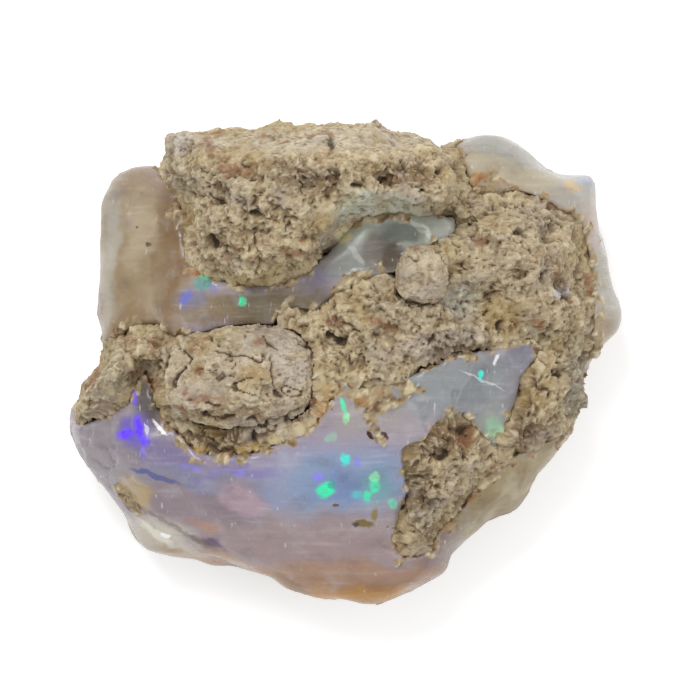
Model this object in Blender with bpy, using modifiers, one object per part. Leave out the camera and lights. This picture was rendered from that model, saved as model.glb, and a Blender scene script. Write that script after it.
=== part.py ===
"""Rough opal specimen: precious opal that cements fragments of tan host rock, lying on its flat back.

The stone lies with its show face up, +Z, and its long side along X. Its origin is the middle of
the flat fracture face that it rests on. Lengths in the tables are millimetres; meshes are metres.
"""

import bisect
import math
from typing import NamedTuple

import bmesh
import bpy
from mathutils import Vector, noise

MM = 0.001

# Driving dimensions, in millimetres.
RIM_HEIGHT = 4.2  # where the opal's sides bulge out furthest
FOOT_DEPTH = -1.5  # how far the rounded back would reach below the fracture that cuts it flat
LOWEST_ROCK = 2.4  # how far down the host rock reaches over the opal's sides
CONTACT_GAP = 0.3  # between the opal and each rock fragment set in it
VOXEL = 0.345  # the grain in which the lobes of host rock are fused
SLIVER = 0.02  # faces thinner than this, left by a cut, are closed up
SPOT_SPREAD = 1.4  # how far each spot height reaches
OPAL_SQUARENESS = (3.2, 2.2)  # how boxy the opal's sides are above and below the rim

# Triangles that each form keeps, before the sockets are cut.
OPAL_TRIANGLES = 3000
HOST_ROCK_TRIANGLES = 3780
SOCKET_TRIANGLES = 900

# Plan outline of the opal, anticlockwise from the right, as (x, y).
OPAL_OUTLINE = [
    (14.2, 0.0), (15.1, 1.3), (15.8, 2.0), (16.0, 2.8), (15.4, 4.7), (14.9, 6.5), (14.6, 8.1),
    (14.6, 10.6), (14.3, 11.2), (13.2, 11.0), (12.0, 11.1), (10.9, 12.0), (10.0, 12.7),
    (9.0, 13.3), (7.7, 13.2), (6.1, 12.6), (4.3, 12.3), (2.0, 12.5), (-1.4, 12.8), (-4.9, 12.6),
    (-8.1, 12.2), (-10.0, 11.5), (-10.9, 11.2), (-12.4, 11.2), (-13.6, 10.6), (-14.4, 9.7),
    (-14.6, 8.4), (-14.3, 6.4), (-14.3, 4.4), (-14.1, 2.9), (-14.0, 1.5), (-14.3, 0.2),
    (-15.1, -1.2), (-15.9, -2.6), (-16.1, -3.9), (-15.6, -5.5), (-14.7, -6.7), (-13.7, -7.9),
    (-12.9, -9.3), (-11.9, -10.6), (-10.5, -11.3), (-8.5, -11.5), (-6.5, -11.9), (-4.1, -12.6),
    (-2.9, -13.3), (-1.4, -13.8), (0.4, -14.0), (2.6, -13.8), (4.1, -13.3), (5.2, -12.6),
    (5.8, -12.0), (6.1, -11.1), (7.3, -9.9), (8.2, -9.1), (9.7, -8.5), (10.6, -7.5),
    (11.0, -6.6), (11.8, -5.3), (13.0, -4.2), (13.9, -2.6), (14.0, -1.0),
]

# Heights of the opal's upper surface, as (x, y, z).
OPAL_SPOTS = [
    # brown-stained slab at the left
    (-13.5, 9.4, 6.8), (-11.8, 8.6, 7.6), (-12.1, 5.4, 7.4), (-12.4, 1.9, 7.6), (-10.4, 6.0, 8.2),
    # under the upper block, and the band below it
    (-9.0, 7.7, 9.0), (-2.6, 9.4, 11.0), (-8.7, 4.2, 10.6), (-9.8, 2.2, 10.2), (-6.1, 3.2, 11.2),
    (-2.6, 3.1, 11.6), (-0.9, 5.1, 12.0), (2.7, 6.6, 12.2), (3.2, 3.6, 12.0),
    # grey slab at the upper right, and its edge down the right side
    (7.8, 11.7, 9.0), (10.7, 10.9, 9.0), (13.3, 9.7, 8.4), (14.7, 6.0, 7.2), (15.0, 3.1, 6.8),
    (10.1, 5.4, 10.2), (12.4, 2.5, 9.2),
    # blue-grey window
    (4.3, -0.4, 11.8), (6.6, -1.3, 11.4), (9.0, -0.4, 11.2), (10.4, 0.5, 10.6), (9.0, -2.8, 10.4),
    # right shoulder
    (11.6, -3.3, 9.0), (9.0, -6.8, 8.8), (6.6, -8.5, 8.4), (11.2, -5.2, 8.4),
    # tongue
    (2.3, -3.3, 11.8), (0.0, -2.1, 12.2), (-0.3, -5.0, 11.6), (-2.6, -6.8, 11.2),
    (2.0, -7.9, 10.6), (-0.9, -10.2, 9.4), (3.2, -11.4, 8.0), (-0.9, -12.5, 7.0),
    (-5.5, -9.1, 9.8), (-8.4, -7.9, 9.6), (-6.6, -10.5, 7.8), (4.3, -10.2, 8.4),
    # around and under the round clast
    (-6.1, -6.2, 11.0), (-6.1, -1.0, 10.4), (-10.4, -3.6, 10.4),
    # glassy lip at the lower left
    (-12.4, -3.9, 10.0), (-14.2, -3.9, 8.8), (-15.0, -3.3, 7.8), (-11.3, -6.2, 9.8),
    (-10.7, -9.1, 7.8),
]

# Conchoidal faces that slice the opal's top, as a point on each and the way it faces.
OPAL_FACETS = [
    ((-9.4, -9.0, 8.9), (-0.45, -0.72, 0.62)),  # lower left of the tongue
    ((-13.4, -5.2, 9.0), (-0.55, -0.50, 0.72)),  # below the lip
    ((14.1, 6.5, 8.0), (0.74, 0.12, 0.62)),  # right edge of the grey slab
    ((10.0, -7.0, 8.2), (0.55, -0.62, 0.58)),  # smooth rind down the right side
]

# Hollows in the opal's top, as (x, y, radius, depth).
OPAL_HOLLOWS = [
    (3.0, 6.9, 1.5, 0.9),  # scoop in the grey window
    (-10.5, -3.3, 1.3, 0.9), (-9.7, -4.9, 1.1, 0.6),  # channel beside the lip
    (8.6, -1.6, 2.4, 0.5),  # blue-grey window
    (10.2, 0.9, 1.0, 0.5),  # glossy chip at its upper end
    (-12.1, 9.0, 1.0, 0.4), (-12.2, 4.4, 1.6, 0.35),  # dips in the brown-stained slab
    (10.4, 11.4, 1.6, 0.3),  # dip in the grey slab
]


# Fracture faces that broke the opal's sides and back, as a point on each and the way it faces.
OPAL_FRACTURES = [
    ((-1.0, -12.4, 2.4), (0.06, -0.80, -0.60)),
    ((8.6, -8.2, 2.2), (0.55, -0.60, -0.58)),
    ((14.2, 3.0, 2.2), (0.80, 0.05, -0.60)),
    ((-14.4, -4.2, 2.4), (-0.72, -0.34, -0.60)),
    ((-12.6, 7.4, 2.6), (-0.74, 0.22, -0.64)),
    ((9.0, 11.6, 2.2), (0.30, 0.76, -0.58)),
    ((-3.0, 11.4, 2.0), (-0.05, 0.80, -0.60)),
]


class Lobe(NamedTuple):
    """A lobe of host rock: its plan outline, a point inside it and the heights of its top."""

    name: str
    outline: list
    centre: tuple
    spots: list
    depth: float  # how far it sinks below the opal's surface
    sunk: float  # how far its widest line lies below the opal's surface
    squareness: tuple  # how boxy its sides are, above and below


LOBES = [
    Lobe(
        "upper_block",
        [
            (-10.5, 13.4), (-9.8, 13.5), (-8.1, 13.4), (-6.8, 13.6), (-5.1, 13.5), (-2.6, 13.8),
            (-1.2, 14.0), (0.0, 13.8), (3.2, 13.4), (4.0, 13.4), (5.0, 12.7), (6.4, 12.3),
            (7.0, 10.3), (6.8, 8.6), (4.9, 8.7), (2.6, 8.9), (0.6, 8.6), (-0.4, 7.5), (-1.3, 6.3),
            (-2.3, 5.4), (-3.8, 4.9), (-5.5, 4.7), (-7.2, 5.0), (-8.7, 5.6), (-8.9, 7.1),
            (-9.1, 8.7), (-9.4, 10.0), (-10.2, 10.2), (-10.5, 11.7),
        ],
        (-2.6, 10.6),
        [
            (-9.6, 12.8, 14.2), (-6.0, 13.0, 14.2), (-1.0, 13.3, 14.2), (4.0, 12.8, 13.2),
            (-9.0, 10.4, 15.4), (-5.0, 11.0, 16.7), (-1.0, 11.3, 17.2), (3.2, 11.0, 16.2),
            (5.8, 10.0, 14.8), (-8.0, 7.6, 15.2), (-5.0, 8.2, 16.4), (-1.8, 8.6, 16.2),
            (2.0, 9.4, 15.2), (-8.0, 5.8, 14.4), (-5.5, 5.3, 14.6), (-2.8, 5.8, 14.6),
        ],
        3.2,
        1.0,
        (4.2, 3.0),
    ),
    Lobe(
        "centre_crust",
        [
            (5.8, 3.6), (6.2, 5.1), (6.1, 6.6), (5.5, 7.0), (4.6, 6.6), (3.9, 5.6), (3.0, 4.9),
            (1.4, 4.6), (0.4, 4.2), (-0.4, 3.8), (-0.9, 3.4), (-1.2, 2.6), (-1.0, 1.6),
            (-0.6, 0.5), (0.0, -0.5), (0.4, -1.3), (1.3, -1.4), (2.3, -1.1), (3.5, -0.5),
            (4.6, 0.1), (5.8, 0.6), (7.1, 1.0), (8.4, 1.0), (9.7, 1.4), (9.2, 2.5), (7.8, 2.8),
            (6.8, 3.1),
        ],
        (3.2, 2.5),
        [
            (-0.4, 3.0, 13.1), (1.6, 3.6, 13.5), (4.3, 4.4, 13.8), (5.8, 6.2, 13.5),
            (0.4, 0.8, 12.9), (3.2, 1.5, 13.3), (6.0, 2.2, 13.1), (8.4, 2.0, 12.5),
            (1.0, -0.6, 12.8),
        ],
        2.4,
        0.35,
        (1.9, 3.0),
    ),
    Lobe(
        "right_crust",
        [
            (6.5, 7.6), (6.5, 9.1), (7.2, 9.5), (8.1, 9.4), (9.0, 9.8), (10.1, 9.7), (11.6, 9.1),
            (12.4, 8.4), (13.3, 8.1), (13.8, 6.5), (14.0, 4.2), (14.2, 2.5), (14.1, 1.0),
            (13.6, 0.1), (12.7, 0.5), (11.7, 1.0), (10.7, 1.7), (9.2, 1.9), (7.8, 2.4),
            (6.4, 3.4), (5.6, 5.1),
        ],
        (10.1, 5.4),
        [
            (7.6, 8.4, 12.8), (9.0, 6.0, 13.3), (7.4, 4.2, 13.3), (10.1, 7.8, 12.4),
            (11.6, 5.4, 12.4), (13.0, 6.8, 10.8), (13.2, 3.6, 10.8), (13.2, 1.4, 10.2),
            (11.0, 2.8, 11.9), (9.2, 3.0, 12.5), (11.8, 8.4, 10.9),
        ],
        2.6,
        0.3,
        (1.8, 3.0),
    ),
    Lobe(
        "right_rim",
        [
            (12.0, 1.3), (13.0, 1.6), (13.9, 0.9), (14.2, -0.5), (14.1, -2.0), (13.6, -2.9),
            (12.9, -3.7), (12.1, -4.1), (11.1, -4.3), (10.3, -4.7), (9.6, -5.1), (8.9, -5.5),
            (8.9, -4.7), (9.3, -3.6), (10.1, -2.7), (10.2, -1.6), (10.5, -0.5), (11.3, 0.5),
        ],
        (11.6, -1.8),
        [
            (11.6, -1.8, 10.5), (13.2, -1.0, 9.2), (12.8, 0.8, 9.9), (10.6, -2.2, 10.9),
            (12.3, -3.8, 8.9), (9.8, -5.0, 9.9),
        ],
        2.4,
        0.4,
        (1.9, 3.0),
    ),
    Lobe(
        "lower_mid",
        [
            (3.3, -5.4), (3.4, -4.8), (4.4, -4.6), (5.0, -3.8), (5.8, -3.2), (6.7, -3.0),
            (7.2, -3.5), (7.7, -4.6), (8.8, -5.4), (8.8, -5.9), (7.6, -6.4), (6.9, -7.4),
            (6.5, -8.2), (5.8, -8.8), (5.1, -9.5), (4.5, -10.7), (4.0, -11.1), (3.3, -10.9),
            (2.8, -10.4), (3.0, -9.5), (3.6, -8.8), (4.0, -7.6), (3.7, -6.4),
        ],
        (5.4, -6.6),
        [
            (5.2, -6.8, 10.8), (5.8, -3.8, 11.9), (4.0, -5.2, 11.9), (7.6, -5.0, 11.1),
            (6.9, -7.8, 9.6), (5.5, -8.8, 9.7), (3.6, -10.2, 9.2), (4.2, -7.4, 10.9),
        ],
        2.4,
        0.3,
        (1.8, 3.0),
    ),
    Lobe(
        "clast_bed",
        [
            (-11.1, 0.8), (-10.7, 1.3), (-9.6, 1.3), (-6.6, 1.2), (-4.8, 1.5), (-4.0, 2.3),
            (-3.2, 2.9), (-2.0, 2.9), (-0.7, 2.1), (-0.2, 0.8), (-0.5, -0.7), (-0.7, -1.9), (-1.3, -2.9),
            (-2.7, -3.9), (-4.3, -4.5), (-6.3, -5.1), (-7.9, -5.0), (-9.0, -4.4), (-9.9, -3.5),
            (-10.5, -2.5), (-10.9, -1.3), (-11.1, 0.1),
        ],
        (-6.1, -1.2),
        [
            (-10.6, 0.8, 12.0), (-8.4, 1.4, 12.2), (-5.6, 1.8, 12.4), (-2.0, 2.2, 12.8),
            (-0.9, -0.6, 12.9), (-1.6, -2.9, 12.6), (-4.0, -4.2, 12.3), (-7.6, -4.5, 12.0),
            (-10.2, -2.4, 11.9), (-6.0, -1.0, 12.4),
        ],
        3.6,
        0.6,
        (3.0, 3.0),
    ),
    Lobe(
        "left_patch",
        [
            (-16.0, -2.2), (-15.7, -1.6), (-15.1, -0.7), (-14.3, 0.2), (-13.8, 0.9), (-12.8, 1.5),
            (-11.6, 2.0),
            (-10.4, 1.9), (-10.3, 0.8), (-11.1, 0.0), (-12.1, -0.6), (-12.3, -1.4), (-12.7, -2.1),
            (-13.6, -2.6), (-14.4, -3.0), (-15.3, -3.5), (-15.9, -3.2),
        ],
        (-13.3, -0.6),
        [
            (-15.0, -2.2, 9.0), (-14.0, -0.8, 10.1), (-12.8, 0.4, 10.7), (-11.3, 1.2, 11.3),
            (-12.9, -1.6, 10.5),
        ],
        2.2,
        0.4,
        (1.9, 3.0),
    ),
]

# Holes weathered out of the host rock, as (x, y, radius, depth).
ROCK_PITS = [
    (-7.4, 9.4, 0.8, 1.0), (-9.0, 9.9, 0.6, 0.8), (-8.1, 6.6, 0.7, 0.8), (-5.2, 6.9, 0.7, 0.7),
    (2.6, 10.4, 0.9, 0.9), (4.9, 9.6, 0.8, 0.9), (-2.0, 10.0, 0.7, 0.6), (12.1, 7.6, 0.9, 1.0),
    (10.2, 5.2, 0.8, 0.9), (8.2, 6.9, 0.7, 0.7), (12.8, 4.6, 0.8, 0.8), (-0.6, 1.3, 0.8, 1.0),
    (-7.2, -5.1, 0.9, 1.0), (-10.6, -0.9, 0.6, 0.8), (5.3, -5.4, 0.8, 0.9), (6.9, -8.3, 0.7, 0.7),
    (8.7, -5.3, 0.8, 0.9), (5.6, -3.9, 0.6, 0.6), (13.2, -0.4, 0.7, 0.7), (2.2, 1.4, 0.7, 0.5),
    (6.8, 2.6, 0.7, 0.6), (-13.9, -0.3, 0.7, 0.5),
]


class Pebble(NamedTuple):
    """A rounded fragment set in a socket: centre, half-sizes and turn about Z in degrees."""

    centre: tuple
    half: tuple
    turn: float
    boxiness: float  # 0 for an ellipsoid, towards 1 for a block


ROUND_CLAST = Pebble((-6.05, -0.8, 11.2), (4.4, 2.95, 2.2), 3, 0.26)
SMALL_CLAST = Pebble((4.4, 5.05, 12.5), (1.45, 1.65, 1.35), -10, 0.36)

# Colour, roughness and clear transmission of each piece.
FINISHES = {
    "opal_body": ((0.47, 0.46, 0.52), 0.15, 0.35),
    "host_rock": ((0.36, 0.28, 0.18), 0.95, 0.0),
    "round_clast": ((0.42, 0.34, 0.23), 0.95, 0.0),
    "small_clast": ((0.45, 0.38, 0.27), 0.95, 0.0),
}


def clear_scene():
    for obj in list(bpy.data.objects):
        bpy.data.objects.remove(obj)


def new_collection(name):
    collection = bpy.data.collections.new(name)
    bpy.context.scene.collection.children.link(collection)
    return collection


def principled(name):
    colour, roughness, transmission = FINISHES[name]
    material = bpy.data.materials.new(name)
    material.use_nodes = True
    shader = material.node_tree.nodes["Principled BSDF"]
    shader.inputs["Base Color"].default_value = (*colour, 1.0)
    shader.inputs["Roughness"].default_value = roughness
    shader.inputs["Metallic"].default_value = 0.0
    shader.inputs["Transmission Weight"].default_value = transmission
    return material


def new_object(name, mesh, collection):
    obj = bpy.data.objects.new(name, mesh)
    collection.objects.link(obj)
    return obj


def mesh_from(bm, name):
    mesh = bpy.data.meshes.new(name)
    bm.to_mesh(mesh)
    bm.free()
    return mesh


def spot_height(x, y, spots):
    """Height at (x, y): the spot heights' average, weighted by a bell curve of distance."""
    total, weight = 0.0, 0.0
    for sx, sy, sz in spots:
        near = math.exp(-((x - sx) ** 2 + (y - sy) ** 2) / (2 * SPOT_SPREAD**2))
        total += near * sz
        weight += near
    if weight > 1e-9:
        return total / weight
    return min(spots, key=lambda spot: (x - spot[0]) ** 2 + (y - spot[1]) ** 2)[2]


def outline_reach(outline, centre):
    """A function of bearing that gives how far the outline is from the centre."""
    polar = sorted(
        (math.atan2(y - centre[1], x - centre[0]), math.hypot(x - centre[0], y - centre[1]))
        for x, y in outline
    )
    first, last = polar[0], polar[-1]
    polar = [(last[0] - math.tau, last[1]), *polar, (first[0] + math.tau, first[1])]
    bearings = [bearing for bearing, _ in polar]

    def reach(bearing):
        after = min(max(bisect.bisect(bearings, bearing), 1), len(polar) - 1)
        (a0, r0), (a1, r1) = polar[after - 1], polar[after]
        share = (bearing - a0) / max(a1 - a0, 1e-6)
        return r0 + (r1 - r0) * share

    return reach


def boulder(name, outline, centre, top, rim, foot, squareness, subdivisions):
    """A closed rounded mass with that plan outline. top, rim and foot are functions of (x, y).

    A squareness of 2 gives the sides a circle's curve, and a higher one boxier sides.
    """
    bm = bmesh.new()
    bmesh.ops.create_icosphere(bm, subdivisions=subdivisions, radius=1.0)
    reach = outline_reach(outline, centre)
    for vert in bm.verts:
        level = max(-1.0, min(1.0, vert.co.z))
        flat = math.sqrt(1.0 - level * level)
        bearing = math.atan2(vert.co.y, vert.co.x)
        power = 2.0 / squareness[0 if level > 0 else 1]
        out = reach(bearing) * flat**power
        x = centre[0] + out * math.cos(bearing)
        y = centre[1] + out * math.sin(bearing)
        edge = rim(x, y)
        end = top(x, y) if level > 0 else foot(x, y)
        z = edge + (end - edge) * abs(level) ** power
        vert.co = Vector((x, y, z)) * MM
    bmesh.ops.recalc_face_normals(bm, faces=bm.faces)
    return mesh_from(bm, name)


def bowl_depth(x, y, bowls):
    """How deep the bowls carve at (x, y): each is round, with a soft lip."""
    depth = 0.0
    for bx, by, radius, deep in bowls:
        away = math.hypot(x - bx, y - by) / radius
        if away < 1.0:
            depth = max(depth, deep * (1.0 - away * away) ** 1.5)
    return depth


def facet_height(x, y, facets):
    """The lowest of the slanting faces at (x, y)."""
    lowest = math.inf
    for (px, py, pz), (nx, ny, nz) in facets:
        lowest = min(lowest, pz - ((x - px) * nx + (y - py) * ny) / nz)
    return lowest


def opal_top(x, y):
    height = spot_height(x, y, OPAL_SPOTS) - bowl_depth(x, y, OPAL_HOLLOWS)
    return max(RIM_HEIGHT + 0.4, min(height, facet_height(x, y, OPAL_FACETS)))


def opal_skin():
    """A function of (x, y) that gives the height of the opal's rounded upper side."""
    reach = outline_reach(OPAL_OUTLINE, (0.0, 0.0))
    power = 2.0 / OPAL_SQUARENESS[0]

    def skin(x, y):
        share = math.hypot(x, y) / reach(math.atan2(y, x))
        level = math.sqrt(max(0.0, 1.0 - share ** (2.0 / power)))
        return RIM_HEIGHT + (opal_top(x, y) - RIM_HEIGHT) * level**power

    return skin


def lobe_object(lobe, skin, collection):
    """One lobe, sunk by its depth into the opal's upper side."""
    mesh = boulder(
        lobe.name,
        lobe.outline,
        lobe.centre,
        top=lambda x, y: spot_height(x, y, lobe.spots),
        rim=lambda x, y: max(LOWEST_ROCK + 0.6, skin(x, y) - lobe.sunk),
        foot=lambda x, y: max(LOWEST_ROCK, skin(x, y) - lobe.depth),
        squareness=lobe.squareness,
        subdivisions=5,
    )
    return new_object(lobe.name, mesh, collection)


def pebble(name, form, collection, grow=0.0, subdivisions=4):
    """A rounded rock fragment, larger all round by grow."""
    bm = bmesh.new()
    bmesh.ops.create_icosphere(bm, subdivisions=subdivisions, radius=1.0)
    for vert in bm.verts:
        squared = [math.copysign(abs(c) ** (1.0 - form.boxiness), c) for c in vert.co]
        vert.co = Vector([c * (h + grow) * MM for c, h in zip(squared, form.half)])
    obj = new_object(name, mesh_from(bm, name), collection)
    obj.location = Vector(form.centre) * MM
    obj.rotation_euler.z = math.radians(form.turn)
    return obj


def bake_modifiers(obj):
    bpy.context.view_layer.update()
    graph = bpy.context.evaluated_depsgraph_get()
    mesh = bpy.data.meshes.new_from_object(obj.evaluated_get(graph))
    obj.modifiers.clear()
    obj.data = mesh
    return obj


def fused_host_rock(name, skin, collection):
    """The lobes of host rock fused into one skin, with the creases between them eased."""
    bm = bmesh.new()
    for lobe in LOBES:
        piece = lobe_object(lobe, skin, collection)
        bm.from_mesh(piece.data)
        bpy.data.objects.remove(piece)
    obj = new_object(name, mesh_from(bm, name), collection)
    remesh = obj.modifiers.new("fuse lobes", "REMESH")
    remesh.mode = "VOXEL"
    remesh.voxel_size = VOXEL * MM
    soften(obj)
    return bake_modifiers(obj)


def soften(obj):
    ease = obj.modifiers.new("ease creases", "SMOOTH")
    ease.factor = 0.5
    ease.iterations = 2


def thin_to(obj, triangles):
    """Leaves about that many triangles, with a modifier that stays on the object."""
    now = sum(len(face.vertices) - 2 for face in obj.data.polygons)
    decimate = obj.modifiers.new("thin out", "DECIMATE")
    decimate.ratio = min(1.0, triangles / now)
    return obj


def cut(obj, cutter):
    boolean = obj.modifiers.new("cut for " + cutter.name, "BOOLEAN")
    boolean.operation = "DIFFERENCE"
    boolean.solver = "EXACT"
    boolean.object = cutter
    return obj


def close_slivers(obj):
    """Bakes the cuts and closes up the slivers that they leave."""
    bake_modifiers(obj)
    bm = bmesh.new()
    bm.from_mesh(obj.data)
    bmesh.ops.dissolve_degenerate(bm, dist=SLIVER * MM, edges=bm.edges)
    bmesh.ops.triangulate(bm, faces=bm.faces)
    bm.to_mesh(obj.data)
    bm.free()
    return obj


def helper(obj):
    """Marks a cutter, which shapes a piece and isn't one."""
    obj.hide_render = True
    obj.display_type = "WIRE"
    return obj


def move_along_normals(obj, distance):
    """Moves each vertex by distance(place, normal), all in millimetres."""
    normals = [vert.normal.copy() for vert in obj.data.vertices]
    for vert, normal in zip(obj.data.vertices, normals):
        place = obj.matrix_basis @ vert.co / MM
        vert.co += normal * distance(place, normal) * MM
    return obj


def crumble(obj, depth, grain, skin, bowls=()):
    """Carves lumps, cracks and pits into obj, inwards only and least where it sits in its socket."""

    def carved(place, normal):
        lumps = 0.5 - 0.5 * noise.fractal(place / grain, 0.9, 2.1, 2)
        nearest, second = noise.voronoi(place / grain)[0][:2]
        cracks = 1.0 - min(1.0, 2.6 * (second - nearest))
        carve = depth * min(1.0, max(0.0, 0.6 * lumps + 0.5 * cracks))
        proud = place.z - skin(place.x, place.y)
        if normal.z > 0.2:
            carve += bowl_depth(place.x, place.y, bowls)
        return -carve * min(1.0, max(0.12, 0.3 + 0.7 * proud))

    return move_along_normals(obj, carved)


def weather(obj, depth, grain):
    """Uneven lumps on the opal's skin, most on its sides and back and least on its show face."""

    def lump(place, normal):
        hidden = 1.0 - 0.8 * max(0.0, normal.z)
        return depth * hidden * noise.fractal(place / grain, 0.8, 2.0, 3)

    return move_along_normals(obj, lump)


def fracture(obj, faces, sharpness=0.88):
    """Presses whatever stands proud of each slanting face back towards it."""
    for point, normal in faces:
        plane = Vector(point) * MM
        out = Vector(normal).normalized()
        for vert in obj.data.vertices:
            proud = (vert.co - plane).dot(out)
            if proud > 0.0:
                vert.co -= out * proud * sharpness
    return obj


def floor_cutter(collection):
    """A slab below Z = 0, which leaves the flat fracture face."""
    bm = bmesh.new()
    bmesh.ops.create_cube(bm, size=1.0)
    bmesh.ops.scale(bm, vec=Vector((60.0, 60.0, 10.0)) * MM, verts=bm.verts)
    bmesh.ops.translate(bm, vec=Vector((0.0, 0.0, -5.0 * MM)), verts=bm.verts)
    return helper(new_object("floor_cutter", mesh_from(bm, "floor_cutter"), collection))


def opal_body(collection, sockets):
    """The opal as one rounded mass, cut flat where it rests and hollowed for the rock."""
    mesh = boulder(
        "opal_body",
        OPAL_OUTLINE,
        (0.0, 0.0),
        top=opal_top,
        rim=lambda x, y: RIM_HEIGHT,
        foot=lambda x, y: FOOT_DEPTH,
        squareness=OPAL_SQUARENESS,
        subdivisions=6,
    )
    opal = new_object("opal_body", mesh, collection)
    fracture(opal, OPAL_FRACTURES)
    weather(opal, depth=0.45, grain=4.0)
    thin_to(opal, OPAL_TRIANGLES)
    for socket in sockets:
        cut(opal, socket)
    return opal


def main():
    clear_scene()
    parts = new_collection("rough_opal_specimen")
    cutters = new_collection("cutters")
    skin = opal_skin()

    round_socket = helper(pebble("round_socket", ROUND_CLAST, cutters, grow=CONTACT_GAP))
    small_socket = helper(
        pebble("small_socket", SMALL_CLAST, cutters, grow=CONTACT_GAP, subdivisions=3)
    )
    host_socket = helper(fused_host_rock("host_socket", skin, cutters))
    move_along_normals(host_socket, lambda place, normal: CONTACT_GAP)
    thin_to(host_socket, SOCKET_TRIANGLES)

    host_rock = fused_host_rock("host_rock", skin, parts)
    crumble(host_rock, depth=0.85, grain=2.3, skin=skin, bowls=ROCK_PITS)
    soften(host_rock)
    thin_to(host_rock, HOST_ROCK_TRIANGLES)
    cut(host_rock, round_socket)
    close_slivers(cut(host_rock, small_socket))

    sockets = [host_socket, round_socket, small_socket, floor_cutter(cutters)]
    opal = close_slivers(opal_body(parts, sockets))
    round_clast = crumble(pebble("round_clast", ROUND_CLAST, parts), 0.45, 1.6, skin)
    small_clast = pebble("small_clast", SMALL_CLAST, parts, subdivisions=3)
    crumble(small_clast, 0.25, 1.2, skin)

    for piece in (opal, host_rock, round_clast, small_clast):
        piece.data.materials.clear()
        piece.data.materials.append(principled(piece.name))


main()
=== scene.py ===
"""Looks of the rough opal specimen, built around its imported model.

The opal, the host rock and the two rounded fragments in it are each remeshed finely from their
solids, carved with the relief of their own material and dressed for it. Sizes in the classes and
tables are millimetres, seen from above with +X to the right and +Y up; meshes are in metres.
"""

import logging
import math
from dataclasses import dataclass, replace
from enum import Enum
from typing import NamedTuple

import bmesh
import bpy
import numpy as np
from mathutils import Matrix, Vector, noise
from mathutils.bvhtree import BVHTree

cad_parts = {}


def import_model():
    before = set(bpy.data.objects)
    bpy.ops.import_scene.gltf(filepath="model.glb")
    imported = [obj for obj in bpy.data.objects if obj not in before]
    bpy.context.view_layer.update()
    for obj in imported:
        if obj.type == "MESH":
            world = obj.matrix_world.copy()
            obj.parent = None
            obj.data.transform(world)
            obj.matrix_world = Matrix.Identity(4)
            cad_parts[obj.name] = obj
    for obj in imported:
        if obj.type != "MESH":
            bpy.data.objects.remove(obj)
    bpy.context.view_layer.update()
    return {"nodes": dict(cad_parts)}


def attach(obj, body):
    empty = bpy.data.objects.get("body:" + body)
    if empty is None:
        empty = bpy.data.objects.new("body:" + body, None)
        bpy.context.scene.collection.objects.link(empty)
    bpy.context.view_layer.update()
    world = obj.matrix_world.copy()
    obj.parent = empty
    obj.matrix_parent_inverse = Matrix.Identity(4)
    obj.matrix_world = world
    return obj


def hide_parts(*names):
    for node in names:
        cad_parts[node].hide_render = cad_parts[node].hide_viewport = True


MM = 0.001
LOG = logging.getLogger("rough_opal_specimen")

OPAL_VOXEL = 0.17  # millimetres between the points of the opal's skin
OPAL_EASING = 22  # rounds of smoothing of that skin
HOLLOW_ROUNDS = 6  # rounds of averaging that tell the hollows from the bumps
MERGE_DISTANCE = 0.002  # millimetres under which two points of a solid are one
UPWARD = 0.1  # how far up the skin faces, at least, where the show face's own marks are cut
MID_TONE = 0.5  # the tone of a place that is neither pale nor dark

NOISE_SEED = 7  # keeps the relief the same each time the script runs
LEVEL_SPREAD = 23.0  # how far apart neighbouring fragments read the noise for their levels
TILT_SPREAD = 7.3  # and for their tilts
FACET_SPREAD = 9.0  # and the opal's glassy facets for theirs

# Where each pattern reads the noise, so that no two of them rise together
CHIP_SHIFT = (3.7, 1.9, 5.3)
HOLLOW_SHIFT = (11.0, 4.0, 7.0)
PIT_SHIFT = Vector((1.0, 14.0, 7.0))
SPLIT_SHIFT = Vector((5.0, 2.0, 9.0))
CRUST_SHIFT = Vector((3.0, 8.0, 1.0))


class Edge(Enum):
    """How a patch of colour ends: the share of its radius over which it fades."""

    SOFT = 0.38
    GLOWING = 0.6
    HAZY = 0.75


class Fire(Enum):
    """The pure colours that flash inside the opal."""

    GREEN = "#34dca0"
    PALE_GREEN = "#8cdca0"
    CYAN = "#3cd8c8"
    TEAL = "#2c9088"
    BLUE = "#5a66c4"
    LILAC = "#8474e0"
    VIOLET = "#6238f2"


def smoothstep(low: float, high: float, value: float) -> float:
    """Runs smoothly from 0 to 1.

    Args:
        low: the value that gives 0. It may be above high.
        high: the value that gives 1.
        value: the value to place between them.

    Returns:
        A share from 0 to 1.
    """
    share = min(1.0, max(0.0, (value - low) / (high - low)))
    return share * share * (3.0 - 2.0 * share)


@dataclass(frozen=True)
class Spot:
    """An ellipse on the stone, seen from above, with its turn in degrees."""

    name: str
    centre: tuple[float, float]
    radii: tuple[float, float]
    turn: float

    def inside(self, place: Vector, fray: float = 0.0, outer: float = 1.25, inner: float = 0.75) -> float:
        """How far inside the spot a place is.

        Args:
            place: where, in millimetres.
            fray: how much further out the place counts as, in radii, which frays the edge.
            outer: where the spot ends, in radii.
            inner: where it is full, in radii.

        Returns:
            1 where the spot is full and 0 outside it.
        """
        turn = math.radians(self.turn)
        x, y = place.x - self.centre[0], place.y - self.centre[1]
        along = (x * math.cos(turn) + y * math.sin(turn)) / self.radii[0]
        across = (y * math.cos(turn) - x * math.sin(turn)) / self.radii[1]
        return smoothstep(outer, inner, math.hypot(along, across) + fray)


@dataclass(frozen=True)
class Patch(Spot):
    """A patch of colour with a ragged edge."""

    colour: str
    strength: float = 1.0
    edge: Edge = Edge.HAZY


@dataclass(frozen=True)
class Flash(Spot):
    """A flash of play of colour inside the opal."""

    fire: Fire
    strength: float


@dataclass(frozen=True)
class Stretch(Spot):
    """A stretch of surface with its own share of something, such as relief or rind."""

    share: float


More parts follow.
